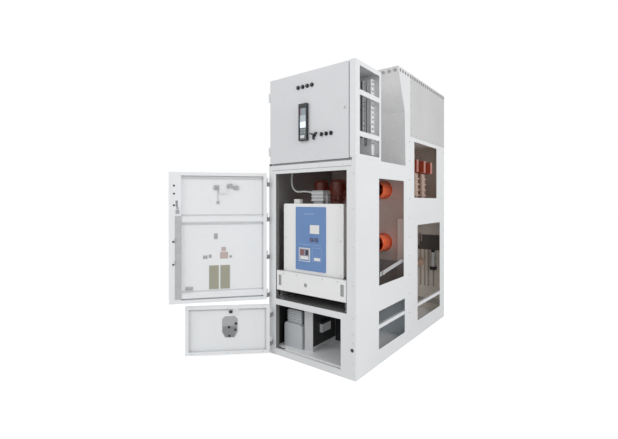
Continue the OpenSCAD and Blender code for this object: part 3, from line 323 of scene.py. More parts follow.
def panel_trim(name, colour, button_colour):
    """Trim of the blue panel, dark where the two push buttons stand."""
    f = Finish(name)
    low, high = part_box("operating_panel")
    middle = low.z + BUTTON_V * (high.z - low.z)
    away = f.math("ABSOLUTE", f.math("SUBTRACT", f.axis("Z"), middle))
    button = f.math("LESS_THAN", away, BUTTON_REACH)
    f.into(f.mix(button, grime(f, colour), grime(f, button_colour)), "Base Color")
    f.rough(0.34, 0.46, scale=25, detail=2)
    f.bump(scale=500, detail=1, strength=0.06, depth=0.0003)
    return f.material


# Divider plate in mm: width of its front flange, margin of its terminal box, span of the box's lid
DIVIDER_FLANGE = 81
BOX_MARGIN = 2
BOX_LID_Z = (184, 248)


def divider_finish(name, colour, dark):
    """Paint of the divider plate, with painted shade, near black, on its terminal box above and below a pale lid.
    """
    f = Finish(name)
    plate_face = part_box("divider_plate")[0].x + (DIVIDER_FLANGE + BOX_MARGIN) * MM
    box = f.math("GREATER_THAN", f.axis("X"), plate_face)
    below = f.math("LESS_THAN", f.axis("Z"), BOX_LID_Z[0] * MM)
    above = f.math("GREATER_THAN", f.axis("Z"), BOX_LID_Z[1] * MM)
    # Painted shade: the terminal box is near black above and below its lid
    shaded_rim = f.math("MULTIPLY", box, f.math("MAXIMUM", below, above))
    f.into(f.mix(shaded_rim, grime(f, colour), dark), "Base Color")
    f.rough(0.45, 0.55, scale=6, detail=2)
    f.bump(**ORANGE_PEEL)
    return f.material


# Colours of the outer paint, of zinc-coated steel and of the cabinet's bare inner sheets
WHITE = (0.775, 0.79, 0.80)
ZINC = (0.52, 0.525, 0.535)
INNER = (0.86, 0.80, 0.745)

# Finish of each material slot: how it is made, its colour and its roughness where that is its own
SLOT_FINISHES = {
    "white_paint": (painted, WHITE),
    "coated_steel": (coated_steel, ZINC),
    "bright_steel": (metal, (0.62, 0.63, 0.64)),
    "grey_plastic": (plastic, (0.40, 0.41, 0.42)),
    "black_plastic": (plastic, (0.022, 0.023, 0.025)),
    "orange_resin": (resin, (0.98, 0.15, 0.042)),
    "brown_resin": (resin, (0.24, 0.045, 0.022)),
    "dark_resin": (resin, (0.05, 0.05, 0.055), 0.4),
    "pale_resin": (resin, (0.60, 0.61, 0.61), 0.35),
    "copper": (metal, (0.74, 0.37, 0.19)),
    "beige_paint": (painted, (0.86, 0.865, 0.86)),
    "blue_paint": (painted, (0.145, 0.265, 0.52), 0.36),
    "control_trim": (plastic, (0.72, 0.72, 0.70), 0.4),
}
finishes = {slot: make(slot, *values) for slot, (make, *values) in SLOT_FINISHES.items()}

# Finishes of nodes and small pieces that differ from their slot's
SHEET = cabinet_sheet("cabinet_sheet", WHITE, INNER)
DOOR_PAINT = painted("door_paint", (0.83, 0.845, 0.86))
PALE_SHEET = painted("pale_sheet", (0.93, 0.935, 0.94), 0.5)
DULL_STEEL = coated_steel("dull_steel", INNER, 0.1, 0.5)
# Zinc at half brightness: real zinc sheet, darkened as painted shade under the breaker on the truck's chassis and
# the breaker floor
SHADED_BASE_STEEL = coated_steel("shaded_base_steel", shade(ZINC, 0.5))
RIB_STEEL = coated_steel("rib_steel", (0.50, 0.44, 0.38), 0.1, 0.5)
DARK_BOLT = metal("dark_bolt", (0.42, 0.42, 0.43), 0.4)
CONDUIT_GREY = plastic("conduit_grey", (0.60, 0.61, 0.62))
BARRIER_GREY = plastic("barrier_grey", (0.11, 0.103, 0.10))
# Dark grey of the painted shade at the mid partition's foot
FOOT_SHADE_GREY = painted("foot_shade_grey", (0.42, 0.41, 0.40), 0.5)
LOOM_PALE = plastic("pale_wire", (0.80, 0.81, 0.82))
LOOM_DARK = plastic("dark_wire", (0.06, 0.06, 0.065))
# Grey of the strips that paint the shade under door lips and along the stiffeners
SHADE_STRIP_GREY = plastic("painted_shade_strip", (0.62, 0.63, 0.64), 0.8)
POST_RESIN = resin("post_resin", (0.46, 0.33, 0.26), 0.4)
SCREEN = screen("relay_screen", (0.70, 0.80, 0.88), 0.5)
# Glow of the relay's face bands is painted light: these bands are no lamps
MIDDLE_BAND_GLOW = screen("relay_middle_band_glow", (0.44, 0.50, 0.54), 0.1)
UPPER_BAND_GLOW = screen("relay_upper_band_glow", (0.24, 0.29, 0.32), 0.05)
LOWER_BAND_GLOW = screen("relay_lower_band_glow", (0.13, 0.17, 0.18), 0.02)
OLIVE_PLATE = painted("olive_plate", (0.35, 0.345, 0.27), 0.5)
ROSE_PLATE = painted("rose_plate", (0.52, 0.42, 0.39), 0.5)
GREY_PLATE = painted("grey_plate", (0.40, 0.40, 0.41), 0.5)
PALE_BLUE = painted("pale_blue", (0.36, 0.47, 0.68), 0.4)
POCKET_GREY = painted("pocket_grey", (0.24, 0.245, 0.255), 0.5)
PURPLE_PLATE = painted("purple_plate", (0.30, 0.29, 0.38), 0.4)
DULL_RED = painted("dull_red", (0.25, 0.11, 0.11), 0.4)
RED_LENS = resin("red_lens", (0.45, 0.02, 0.015), 0.2)
node_finishes = {
    # Left wall's inside is dark above the breaker floor as painted shade, and lighter and bluer below it
    "left_front_wall": cabinet_sheet("left_sheet_painted_shade", WHITE, (0.35, 0.345, 0.35), (0.64, 0.70, 0.74)),
    "right_front_wall": SHEET,
    "left_rear_wall": SHEET,
    "right_rear_wall": SHEET,
    # Front frame's inner faces near black: painted shade within its openings
    "front_frame": cabinet_sheet("front_sheet_painted_shade", WHITE, (0.22, 0.215, 0.21)),
    "rear_covers": cabinet_sheet("rear_sheet", WHITE, (0.92, 0.86, 0.79)),
    "earth_bar": metal("tinned_copper", (0.56, 0.54, 0.50), 0.35),
    "cable_posts": POST_RESIN,
    # Control door greyer than the cabinet's white: painted shade on its front face
    "lv_door_panel": painted("control_paint_shaded", (0.69, 0.705, 0.725)),
    "breaker_door_panel": DOOR_PAINT,
    "breaker_door_stiffeners": DOOR_PAINT,
    "lower_door_panel": DOOR_PAINT,
    "divider_plate": divider_finish("divider_paint", (0.60, 0.61, 0.625), (0.018, 0.018, 0.02)),
    "main_busbars": resin("busbar_sleeve", (0.33, 0.06, 0.028)),
    "panel_controls": panel_trim("panel_trim", (0.80, 0.80, 0.79), (0.11, 0.12, 0.20)),
    "lv_back": PALE_SHEET,
    "lv_wire_ducts": PALE_SHEET,
    "lv_terminals": plastic("terminal_grey", (0.34, 0.345, 0.35)),
    "wiring_trunk": painted("trunk_paint", (0.95, 0.91, 0.87), 0.5),
    "duct_front": coated_steel("duct_sheet", (0.76, 0.76, 0.765), 0.05, 0.5),
    "duct_side_panels": coated_steel("duct_side_sheet", (0.60, 0.60, 0.605), 0.05, 0.5),
    "floor_plates": coated_steel("floor_sheet", (0.94, 0.96, 0.98), 0.0),
    "busbar_floor": DULL_STEEL,
    "busbar_roof": DULL_STEEL,
    "busbar_posts": POST_RESIN,
    "voltage_transformer": resin("transformer_resin", (0.51, 0.53, 0.55), 0.35),
    "breaker_floor": SHADED_BASE_STEEL,
    "mid_partition": cabinet_sheet("partition_sheet", WHITE, INNER, (0.84, 0.92, 0.98)),
    "truck_chassis": SHADED_BASE_STEEL,
    "door_hinges": hinge_finish("hinge_steel", (0.26, 0.26, 0.27), WHITE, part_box("lv_back")[0].z),
}

# Softened edges: width in mm by slot, nodes left sharp, and how edges are found
EDGE_MM = {"white_paint": 0.9, "beige_paint": 1.2, "grey_plastic": 1.0, "control_trim": 0.6}
PLAIN_EDGES = {"truck_front_panel"}
EDGE_STEPS = 2
EDGE_DEG = 50
WELD_M = 0.00002


def soften(obj, width_mm):
    """Rounds the edges of an object a little."""
    edge = obj.modifiers.new("soft_edges", "BEVEL")
    edge.width = width_mm * MM
    edge.segments = EDGE_STEPS
    edge.limit_method = "ANGLE"
    edge.angle_limit = math.radians(EDGE_DEG)
    edge.harden_normals = True


def dress_nodes():
    """Gives every CAD node its finish, and takes the sharpness off painted and moulded edges."""
    for part in frame["record"]["subparts"]:
        node = frame["nodes"][part["node"]]
        slot = part["material_slot"]
        node.data.materials.clear()
        node.data.materials.append(node_finishes.get(part["node"], finishes[slot]))
        if slot in EDGE_MM and part["node"] not in PLAIN_EDGES:
            weld = node.modifiers.new("weld", "WELD")
            weld.merge_threshold = WELD_M
            soften(node, EDGE_MM[slot])


# Small pieces in mm: thickness of a door's sheet and of the door, sharp angle, ways that screws point
SHEET_MM = 3.0
DOOR_T = 22.0
SHARP_DEG = 35
BACKWARD = (0, 1, 0)
FORWARD = (0, -1, 0)
UPWARD = (0, 0, 1)


def mesh_object(name, mesh, finish):
    """Object of a finished mesh, shaded smooth."""
    data = bpy.data.meshes.new(name)
    mesh.to_mesh(data)
    mesh.free()
    data.shade_smooth()
    data.materials.append(finish)
    return add_object(name, data)


class Piece:
    """A mesh under construction, in millimetres, in the frame of the place it is set at."""

    # A washer by shares of its bolt's head, and where a screw's dome starts and ends
    WASHER_HEIGHT = 0.3
    WASHER_RADIUS = 0.8
    DOME_START = 0.6
    DOME_TOP = 0.7

    def __init__(self, name, slot, body="cabinet", place=None, finish=None):
        self.name = name
        self.slot = slot
        self.body = body
        self.place = place or Matrix.Identity(4)
        self.finish = finish or finishes[slot]
        self.mesh = bmesh.new()

    def box(self, x, y, z):
        """Block between pairs of limits."""
        low = Vector((x[0], y[0], z[0]))
        high = Vector((x[1], y[1], z[1]))
        size = Matrix.Diagonal((*(high - low), 1))
        bmesh.ops.create_cube(self.mesh, size=1, matrix=Matrix.Translation((low + high) / 2) @ size)

    def pads(self, rows, seat=SHEET_MM):
        """Blocks on a door, each with its X span, its Z span and its height inwards from the seat."""
        for x, z, height in rows:
            self.box(x, (seat, seat + height), z)

    def rod(self, start, end, radius, tip=None, sides=20):
        """Round bar, or a cone where the tip's radius differs."""
        start = Vector(start)
        run = Vector(end) - start
        turn = run.to_track_quat("Z", "Y").to_matrix().to_4x4()
        end_radius = radius if tip is None else tip
        bmesh.ops.create_cone(
            self.mesh, cap_ends=True, segments=sides, radius1=radius, radius2=end_radius,
            depth=run.length, matrix=Matrix.Translation(start + run / 2) @ turn)

    def stub(self, x, z, y, radius, tip=None, sides=20):
        """Round bar or cone along Y, between a pair of limits."""
        self.rod((x, y[0], z), (x, y[1], z), radius, tip, sides)

    def bolt(self, at, out, across, height):
        """Hexagon head on a washer."""
        at = Vector(at)
        out = Vector(out)
        seat = at + out * (height * self.WASHER_HEIGHT)
        self.rod(at, seat, across * self.WASHER_RADIUS)
        self.rod(seat, seat + out * height, across / math.sqrt(3), sides=6)

    def screw(self, at, out, radius, height):
        """Low round head with a domed edge."""
        at = Vector(at)
        out = Vector(out)
        dome = at + out * height * self.DOME_START
        self.rod(at, dome, radius)
        self.rod(dome, at + out * height, radius, radius * self.DOME_TOP)

    def prism(self, outline, y0, y1):
        """Outline in X and Z, drawn out along Y."""
        near = [self.mesh.verts.new((x, y0, z)) for x, z in outline]
        far = [self.mesh.verts.new((x, y1, z)) for x, z in outline]
        self.mesh.faces.new(near)
        self.mesh.faces.new(far[::-1])
        for i in range(len(outline)):
            k = (i + 1) % len(outline)
            self.mesh.faces.new((near[k], near[i], far[i], far[k]))

    def done(self, edge_mm=0.6):
        """Makes the object, softens its edges and lets it ride on its body."""
        bmesh.ops.recalc_face_normals(self.mesh, faces=self.mesh.faces)
        bmesh.ops.scale(self.mesh, vec=(MM, MM, MM), verts=self.mesh.verts)
        obj = mesh_object(self.name, self.mesh, self.finish)
        obj.data.set_sharp_from_angle(angle=math.radians(SHARP_DEG))
        obj.matrix_world = self.place
        if edge_mm:
            soften(obj, edge_mm)
        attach(obj, self.body)


def spaced(start, stop, step):
    """Evenly spaced values from start to stop, no further apart than step."""
    count = max(1, math.ceil(abs(stop - start) / step))
    return [start + (stop - start) * i / count for i in range(count + 1)]


def door_pieces(door):
    """Maker of pieces on a door: X from its pin along the sheet, Y into the cabinet when shut."""
    hinge = joints[door + "_hinge"]
    pin = Vector(hinge["pos_m"])
    shut = math.radians(min(0, hinge["range_deg"][0]))
    place = Matrix.Translation((pin.x, pin.y, 0)) @ Matrix.Rotation(shut, 4, "Z")

    def piece(name, slot, finish=None):
        return Piece(name, slot, door, place, finish)

    return piece


def make_pads(piece, name, slot, finish, rows, edge_mm):
    """Piece of a door that is only pads."""
    pads = piece(name, slot, finish)
    pads.pads(rows)
    pads.done(edge_mm)


# The control conduit in metres, from the gland in the roof to the plug on the breaker
CONDUIT_D = 0.016
CONDUIT_Y = -0.750
CONDUIT_XZ = [
    (-0.285, 1.478), (-0.285, 1.455), (-0.287, 1.430), (-0.290, 1.405), (-0.291, 1.380), (-0.290, 1.356),
    (-0.285, 1.334), (-0.274, 1.314), (-0.258, 1.299), (-0.238, 1.289), (-0.215, 1.285), (-0.190, 1.286),
    (-0.165, 1.287), (-0.140, 1.286), (-0.116, 1.283), (-0.093, 1.280), (-0.071, 1.278), (-0.050, 1.278),
]
CONDUIT_RING = 0.0021
CONDUIT_SIDES = 14
# Radius of its ribs and grooves, as shares of its diameter
CONDUIT_RIBS = (0.5, 0.435)


def curve_through(points, step):
    """Points about every step along a smooth curve through the given points."""
    path = []
    for i in range(len(points) - 1):
        p0 = points[max(i - 1, 0)]
        p1, p2 = points[i], points[i + 1]
        p3 = points[min(i + 2, len(points) - 1)]
        count = max(1, round((p2 - p1).length / step))
        for k in range(count):
            t = k / count
            path.append(0.5 * (2 * p1 + (p2 - p0) * t + (2 * p0 - 5 * p1 + 4 * p2 - p3) * t * t
                               + (3 * p1 - p0 - 3 * p2 + p3) * t ** 3))
    path.append(points[-1])
    return path


def make_conduit():
    """Corrugated conduit that bends between the cabinet and the truck."""
    path = curve_through([Vector((x, CONDUIT_Y, z)) for x, z in CONDUIT_XZ], CONDUIT_RING)
    turns = [2 * math.pi * k / CONDUIT_SIDES for k in range(CONDUIT_SIDES)]
    mesh = bmesh.new()
    rings = []
    for i, point in enumerate(path):
        tangent = (path[min(i + 1, len(path) - 1)] - path[max(i - 1, 0)]).normalized()
        across = Vector((tangent.z, 0, -tangent.x))
        radius = CONDUIT_D * CONDUIT_RIBS[i % 2]
        spokes = [math.cos(a) * across + math.sin(a) * Vector((0, 1, 0)) for a in turns]
        rings.append([mesh.verts.new(point + radius * spoke) for spoke in spokes])
    for a, b in zip(rings, rings[1:]):
        for k in range(CONDUIT_SIDES):
            m = (k + 1) % CONDUIT_SIDES
            mesh.faces.new((a[k], a[m], b[m], b[k]))
    mesh.faces.new(rings[0][::-1])
    mesh.faces.new(rings[-1])
    bmesh.ops.recalc_face_normals(mesh, faces=mesh.faces)
    conduit = mesh_object("conduit", mesh, CONDUIT_GREY)
    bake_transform(conduit)
    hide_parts("control_conduit")


# The relay in mm, and the shares of its recess's height where its bands meet
RELAY_BEZEL = 7.0
RELAY_TOP = 30.0
RELAY_FLAT = 1.5
RELAY_RAISED = 3.0
RELAY_SPLITS = (0.375, 0.56, 0.77)
RELAY_LAMPS = 5


def make_fields(name, slot, body, finish, area, y, shares, edge_mm):
    """Blocks on a face, each by its left, right, low and high share of an area in X and Z."""
    x0, x1, z0, z1 = area
    width, height = x1 - x0, z1 - z0
    piece = Piece(name, slot, body, finish=finish)
    for u0, u1, v0, v1 in shares:
        piece.box((x0 + u0 * width, x0 + u1 * width), y, (z0 + v0 * height, z0 + v1 * height))
    piece.done(edge_mm)


def make_relay_face():
    """Bands, display, lamps and keys in the relay's recess, which is a third of its depth."""
    low, high = mm_box("relay")
    area = (low.x + RELAY_BEZEL, high.x - RELAY_BEZEL, low.z + RELAY_BEZEL, high.z - RELAY_TOP)
    floor = low.y + (high.y - low.y) / 3
    flat = (floor - RELAY_FLAT, floor)
    raised = (floor - RELAY_RAISED, floor)
    dark_top, display_top, pale_top = RELAY_SPLITS
    lamps = [(0.08, 0.16, 0.80 + i * 0.036, 0.818 + i * 0.036) for i in range(RELAY_LAMPS)]
    corners = [(0.14 + column * 0.27, 0.20 + row * 0.08) for column in range(3) for row in range(2)]
    arrows = [(u, u + 0.17, v, v + 0.045) for u, v in corners]
    for name, slot, finish, y, shares, edge_mm in (
            ("relay_upper_face", "grey_plastic", UPPER_BAND_GLOW, flat, [(0, 1, pale_top, 1)], 0.6),
            ("relay_lamps", "control_trim", RED_LENS, raised, lamps, 0.3),
            ("relay_middle_face", "grey_plastic", MIDDLE_BAND_GLOW, flat, [(0, 1, display_top, pale_top)], 0.6),
            ("relay_display", "control_trim", SCREEN, raised, [(0.06, 0.94, dark_top, display_top)], 0.6),
            ("relay_lower_face", "black_plastic", LOWER_BAND_GLOW, flat, [(0, 1, 0, dark_top)], 0.6),
            ("relay_keys", "control_trim", None, raised, [(0.10, 0.72, 0.05, 0.14)], 0.4),
            ("relay_arrow_keys", "grey_plastic", None, raised, arrows, 0.4)):
        make_fields(name, slot, "lv_door", finish, area, y, shares, edge_mm)


# Switches, lamps and lock of the control door, in mm
SWITCH_X = (122, 163, 204)
SWITCH_Z = 1688
POINTER_HALF = 0.8
POINTER_Z = (SWITCH_Z + 2, SWITCH_Z + 11)
LAMP_X = (-93, -50, -7, 36)
LAMP_Z = 2058
LAMP_SEAT = 15
LENS_T = 2
LOCK_X = 318
LOCK_Z = 1852


def make_switch_marks():
    """Pointer lines on the switch grips and dull lenses in the lamps."""
    low, high = mm_box("lv_switches")
    pointers = Piece("switch_pointers", "control_trim", "lv_door")
    for x in SWITCH_X:
        pointers.box((x - POINTER_HALF, x + POINTER_HALF), (low.y - 0.4, low.y + 0.5), POINTER_Z)
    pointers.done(0)
    lenses = Piece("lamp_lenses", "dark_resin", "lv_door")
    seat = high.y - LAMP_SEAT
    for x in LAMP_X:
        lenses.stub(x, LAMP_Z, (seat, seat - LENS_T), 8, 6)
    lenses.done(0.3)


def make_door_lock():
    """Round lock of the control door, with a three-sided key hole."""
    face = mm_box("lv_switches")[1].y
    lock = Piece("control_door_lock", "coated_steel", "lv_door")
    lock.stub(LOCK_X, LOCK_Z, (face, face - 2), 12, 11)
    lock.stub(LOCK_X, LOCK_Z, (face - 2, face - 4), 8, 7)
    lock.done(0.4)
    slot = Piece("control_door_lock_slot", "black_plastic", "lv_door")
    slot.stub(LOCK_X, LOCK_Z, (face - 3.6, face - 4.4), 4.5, sides=3)
    slot.done(0.2)


# Lock strip of the breaker door in mm, X from the pin; pads are rows of X span, Z span and height
LOCK_BAR_T = 1.6
LOCK_BAR = [((648, 696), (470, 1100), LOCK_BAR_T)]
LOCK_HOOKS = [((660, 674), (z, z + 26), 1.8) for z in (560, 700, 840, 980)]
LOCK_STUD_X = 667
LOCK_STUD_Z = (520, 660, 800, 940, 1070)
FLANGE_SCREW_XZ = ((702, 1327), (702, 1267), (702, 1180), (707, 906), (707, 734))
LATCH_PADS = [
    ((664, 690), (1116, 1146), 4), ((670, 684), (1150, 1168), 4.5),
    ((684, 698), (730, 764), 3), ((684, 698), (896, 930), 3),
]


def make_lock_strip(piece):
    """Lock bar with hooks and studs, screws and latches on the door's free edge."""
    bar = piece("lock_bar", "coated_steel")
    bar.pads(LOCK_BAR, DOOR_T)
    bar.pads(LOCK_HOOKS, DOOR_T + LOCK_BAR_T)
    bar.done()
    studs = piece("lock_bar_studs", "bright_steel")
    for z in LOCK_STUD_Z:
        studs.screw((LOCK_STUD_X, DOOR_T + LOCK_BAR_T, z), BACKWARD, 5, 2.2)
    studs.done(0.3)
    screws = piece("flange_screws", "black_plastic")
    for x, z in FLANGE_SCREW_XZ:
        screws.screw((x, DOOR_T, z), BACKWARD, 7.5, 2.2)
    screws.done(0.3)
    latch = piece("lock_latch", "grey_plastic")
    latch.pads(LATCH_PADS, DOOR_T)
    latch.done()


# Stay of the breaker door; knobs have X, Z, seat, height and radius, and rods their ends in X and Z
STAY_CLIP_T = 14
STAY_CLIPS = [
    ((384, 410), (1296, 1332), STAY_CLIP_T), ((226, 262), (1298, 1330), 12),
    ((272, 306), (1312, 1344), STAY_CLIP_T),
]
STAY_KNOBS = ((397, 1314, SHEET_MM + STAY_CLIP_T, 4, 9), (382, 1200, SHEET_MM, 10, 11))
STAY_BLOCK_T = 16
STAY_BLOCK = [((318, 372), (1268, 1338), STAY_BLOCK_T)]
STAY_CAP = [((330, 360), (1280, 1326), 2)]
STAY_BAR = ((236, 1322), (404, 1322))
STAY_DROP = ((382, 1205), (382, 1310))


def make_door_stay(piece):
    """Stay with its clips, block and rods."""
    clips = piece("door_stay_clips", "grey_plastic")
    clips.pads(STAY_CLIPS)
    for x, z, seat, height, radius in STAY_KNOBS:
        clips.stub(x, z, (seat, seat + height), radius)
    clips.done(1.2)
    block = piece("door_stay_block", "white_paint")
    block.pads(STAY_BLOCK)
    block.pads(STAY_CAP, SHEET_MM + STAY_BLOCK_T)
    block.done(1.5)
    rods = piece("door_stay_rod", "bright_steel")
    for ends, height, radius in ((STAY_BAR, 8, 3.5), (STAY_DROP, 6, 2.5)):
        start, end = [(x, SHEET_MM + height, z) for x, z in ends]
        rods.rod(start, end, radius)
    rods.done(0.3)


# Bare plates of the breaker door, with the rim round two of them
PLATE_T = 1.2
THICK_PLATE_T = 1.7
RIM_T = 1.8
DATA_Z = (534, 716)
DATA_PLATES = [((292, 364), DATA_Z, PLATE_T), ((376, 448), DATA_Z, PLATE_T)]
DATA_RIMS = [
    ((288, 452), (716, 719), RIM_T), ((288, 452), (530, 534), RIM_T),
    ((288, 292), DATA_Z, RIM_T), ((448, 452), DATA_Z, RIM_T), ((364, 376), DATA_Z, RIM_T),
]
ROSE_PLATES = [((306, 366), (766, 818), PLATE_T), ((322, 356), (824, 856), THICK_PLATE_T)]
GREY_PLATES = [
    ((384, 412), (918, 962), PLATE_T), ((430, 452), (774, 800), PLATE_T),
    ((460, 494), (768, 794), THICK_PLATE_T), ((276, 298), (772, 790), PLATE_T),
]


def make_door_plates(piece):
    """Bare plates where the door carries its labels."""
    make_pads(piece, "data_plates", "coated_steel", OLIVE_PLATE, DATA_PLATES, 0.4)
    make_pads(piece, "data_plate_rims", "white_paint", None, DATA_RIMS, 0.3)
    make_pads(piece, "rose_plates", "beige_paint", ROSE_PLATE, ROSE_PLATES, 0.4)
    make_pads(piece, "grey_plates", "grey_plastic", GREY_PLATE, GREY_PLATES, 0.4)


# Trim of the breaker door
BRACKET_T = 2
BRACKET_PADS = [((566, 622), (538, 560), BRACKET_T), ((566, 622), (536, 538), 15)]
BRACKET_BOLT_X = (578, 610)
BRACKET_BOLT_Z = 549
# Grey strips under the top lip and at the edges of both stiffeners: painted shade of the lip and of the
# stiffeners' sloped webs
DOOR_SHADE_STRIPS = [
    ((36, 712), (1380, 1404), 7), ((36, 652), (1099, 1109), 1.5),
    ((36, 652), (1028, 1042), 1.5), ((36, 652), (520, 528), 1.5),
]
WELD_X = (44, 640)
WELD_Z = (1062, 1079, 483, 500)


def make_door_trim(piece):
    """Corner bracket, grey strips of painted shade and weld marks of the breaker door."""
    bracket = piece("door_corner_bracket", "coated_steel")
    bracket.pads(BRACKET_PADS)
    for x in BRACKET_BOLT_X:
        bracket.bolt((x, SHEET_MM + BRACKET_T, BRACKET_BOLT_Z), BACKWARD, 8, 3)
    bracket.done(0.4)
    make_pads(piece, "door_gasket", "grey_plastic", SHADE_STRIP_GREY, DOOR_SHADE_STRIPS, 0.4)
    welds = piece("stiffener_welds", "bright_steel")
    for z in WELD_Z:
        for x in WELD_X:
            welds.screw((x, DOOR_T - 0.5, z), BACKWARD, 3.6, 1.6)
    welds.done(0.2)


def make_breaker_door():
    """Fittings on the inside of the breaker door."""
    piece = door_pieces("breaker_door")
    make_lock_strip(piece)
    make_door_stay(piece)
    make_door_plates(piece)
    make_door_trim(piece)


# The lower door in mm, X from its pin
POCKET_X = (258, 376)
POCKET_Z = (152, 316)
POCKET_CUT = 22
POCKET_T = 3
LIP_X = (266, 368)
LIP_Z = (156, 236)
LIP_T = 6
CATCH_T = 8
CATCHES = [((x - 9, x + 9), (z - 8, z + 8), CATCH_T)
           for x, z in ((324, 232), (270, 258), (320, 166), (274, 212))]
STRAP_PADS = [((250, 290), (322, 380), 6), ((246, 294), (362, 377), 14)]
# Grey strips under the lower door's top lip: painted shadow of the lip
LOWER_SHADE_STRIPS = [((36, 244), (362, 376), 5), ((296, 624), (362, 376), 5)]
# Black block beside the strap: painted shade round the strap
STRAP_SHADE_SPOT = [((298, 322), (340, 362), 9)]
LOWER_STUD_X = (60, 330, 600)
LOWER_STUD_Z = (38, 390)


def make_pocket(piece):
    """Diagram pocket, its front and the dark catches on it."""
    cut = POCKET_CUT
    back = SHEET_MM + POCKET_T
    (left, right), (low, high) = POCKET_X, POCKET_Z
    pocket = piece("diagram_pocket", "grey_plastic")
    pocket.prism([(left + cut, low), (right - cut, low), (right, low + 2 * cut), (right, high - cut),
                  (right - cut, high), (left + cut, high), (left, high - cut), (left, low + 2 * cut)],
                 SHEET_MM, back)
    pocket.done(1.0)
    (left, right), (low, high) = LIP_X, LIP_Z
    lip = piece("pocket_front", "grey_plastic", POCKET_GREY)
    lip.prism([(left + cut, low), (right - cut, low), (right, low + 2 * cut), (right, high), (left, high),
               (left, low + 2 * cut)], back, back + LIP_T)
    lip.done(1.2)
    catches = piece("pocket_catch", "black_plastic")
    catches.pads(CATCHES, back)
    catches.done(0.8)


def make_lower_door():
    """Fittings on the inside of the lower door."""
    piece = door_pieces("lower_door")
    make_pocket(piece)
    make_pads(piece, "door_strap", "white_paint", None, STRAP_PADS, 0.8)
    make_pads(piece, "lower_door_gasket", "grey_plastic", SHADE_STRIP_GREY, LOWER_SHADE_STRIPS, 0.4)
    make_pads(piece, "strap_block", "black_plastic", None, STRAP_SHADE_SPOT, 0.8)
    studs = piece("lower_door_studs", "bright_steel")
    for x in LOWER_STUD_X:
        for z in LOWER_STUD_Z:
            studs.screw((x, DOOR_T, z), BACKWARD, 4, 1.8)
    studs.done(0.2)


# Fields of the blue panel by left, right, low and high shares, and their heights in mm
PANEL_LINES = [
    (0.10, 0.87, 0.405, 0.411), (0.30, 0.62, 0.885, 0.895), (0.56, 0.87, 0.362, 0.368),
    (0.56, 0.87, 0.154, 0.160), (0.56, 0.57, 0.154, 0.368), (0.86, 0.87, 0.154, 0.368),
]
PANEL_FIELD = [(0.15, 0.48, 0.225, 0.340)]
PANEL_WINDOW = [(0.36, 0.44, 0.245, 0.320)]
PANEL_FLAG = [(0.18, 0.30, 0.240, 0.325)]
COUNTER_FRAME = [(0.15, 0.48, 0.150, 0.172), (0.15, 0.18, 0.172, 0.222), (0.455, 0.48, 0.172, 0.222)]
LINE_T = 0.7
TRIM_T = 5
FIELD_T = 0.6
WINDOW_T = 1.6


def make_panel_details():
    """Lines, indicator windows and counter frame of the blue panel."""
    low, high = mm_box("operating_panel")
    area = (low.x, high.x, low.z, high.z)
    trim = low.y - TRIM_T
    for name, slot, finish, shares, y, edge_mm in (
            ("panel_lines", "control_trim", PALE_BLUE, PANEL_LINES, (low.y - LINE_T, low.y), 0.2),
            ("panel_field", "grey_plastic", PURPLE_PLATE, PANEL_FIELD, (trim - FIELD_T, trim), 0.2),
            ("panel_windows", "black_plastic", None, PANEL_WINDOW, (trim - WINDOW_T, trim), 0.4),
            ("panel_flags", "dark_resin", DULL_RED, PANEL_FLAG, (trim - WINDOW_T, trim), 0.4),
            ("panel_counter_frame", "blue_paint", None, COUNTER_FRAME, (trim - FIELD_T, trim), 0.2)):
        make_fields(name, slot, "truck", finish, area, y, shares, edge_mm)


# Fittings of the truck's front, in mm
COVER_SCREW_INSET = 22
PANEL_SCREW_X = (-250, -120, 120, 250)
PANEL_SCREW_DROP = 16
AUXILIARY_X = (-188, -132)
AUXILIARY_Y = (-842, -806)
AUXILIARY_Z = (1191, 1226)
AUXILIARY_LID = 6
LATCH_X = (-288, 288)
LATCH_Z = (556, 632)
LATCH_KEY_Z = ((562, 590), (598, 626))
RACKING_X = -33
RACKING_Z = 586
RACKING_HALF = 5


def make_cover_fittings():
    """Screws, auxiliary box, latch inserts and racking shaft of the truck's front."""
    low, high = mm_box("breaker_cover")
    panel_low, panel_high = mm_box("truck_front_panel")
    front = panel_low.y
    screws = Piece("cover_screws", "bright_steel", "truck")
    inset = COVER_SCREW_INSET
    for x in (low.x + inset, high.x - inset):
        for z in (low.z + inset, (low.z + high.z) / 2, high.z - inset):
            screws.screw((x, low.y, z), FORWARD, 5, 2.4)
    for x in PANEL_SCREW_X:
        screws.screw((x, front, panel_high.z - PANEL_SCREW_DROP), FORWARD, 5, 2.2)
    screws.done(0.3)
    box = Piece("auxiliary_box", "control_trim", "truck")
    box.box(AUXILIARY_X, AUXILIARY_Y, AUXILIARY_Z)
    lid_x, lid_z = [(a + AUXILIARY_LID, b - AUXILIARY_LID) for a, b in (AUXILIARY_X, AUXILIARY_Z)]
    box.box(lid_x, (AUXILIARY_Y[0] - 2, AUXILIARY_Y[0]), lid_z)
    box.done(1.5)
    inserts = Piece("latch_inserts", "grey_plastic", "truck", finish=GREY_PLATE)
    for x in LATCH_X:
        inserts.box((x - 11, x + 11), (front + 4, front + 7), LATCH_Z)
        for z in LATCH_KEY_Z:
            inserts.box((x - 8, x + 8), (front + 0.5, front + 4), z)
    inserts.done(0.8)
    shaft = Piece("racking_shaft", "grey_plastic", "truck")
    shaft.stub(RACKING_X, RACKING_Z, (front + 4, front + 24), 14)
    shaft.box((RACKING_X - RACKING_HALF, RACKING_X + RACKING_HALF), (front + 1, front + 4),
              (RACKING_Z - RACKING_HALF, RACKING_Z + RACKING_HALF))
    shaft.done(0.6)


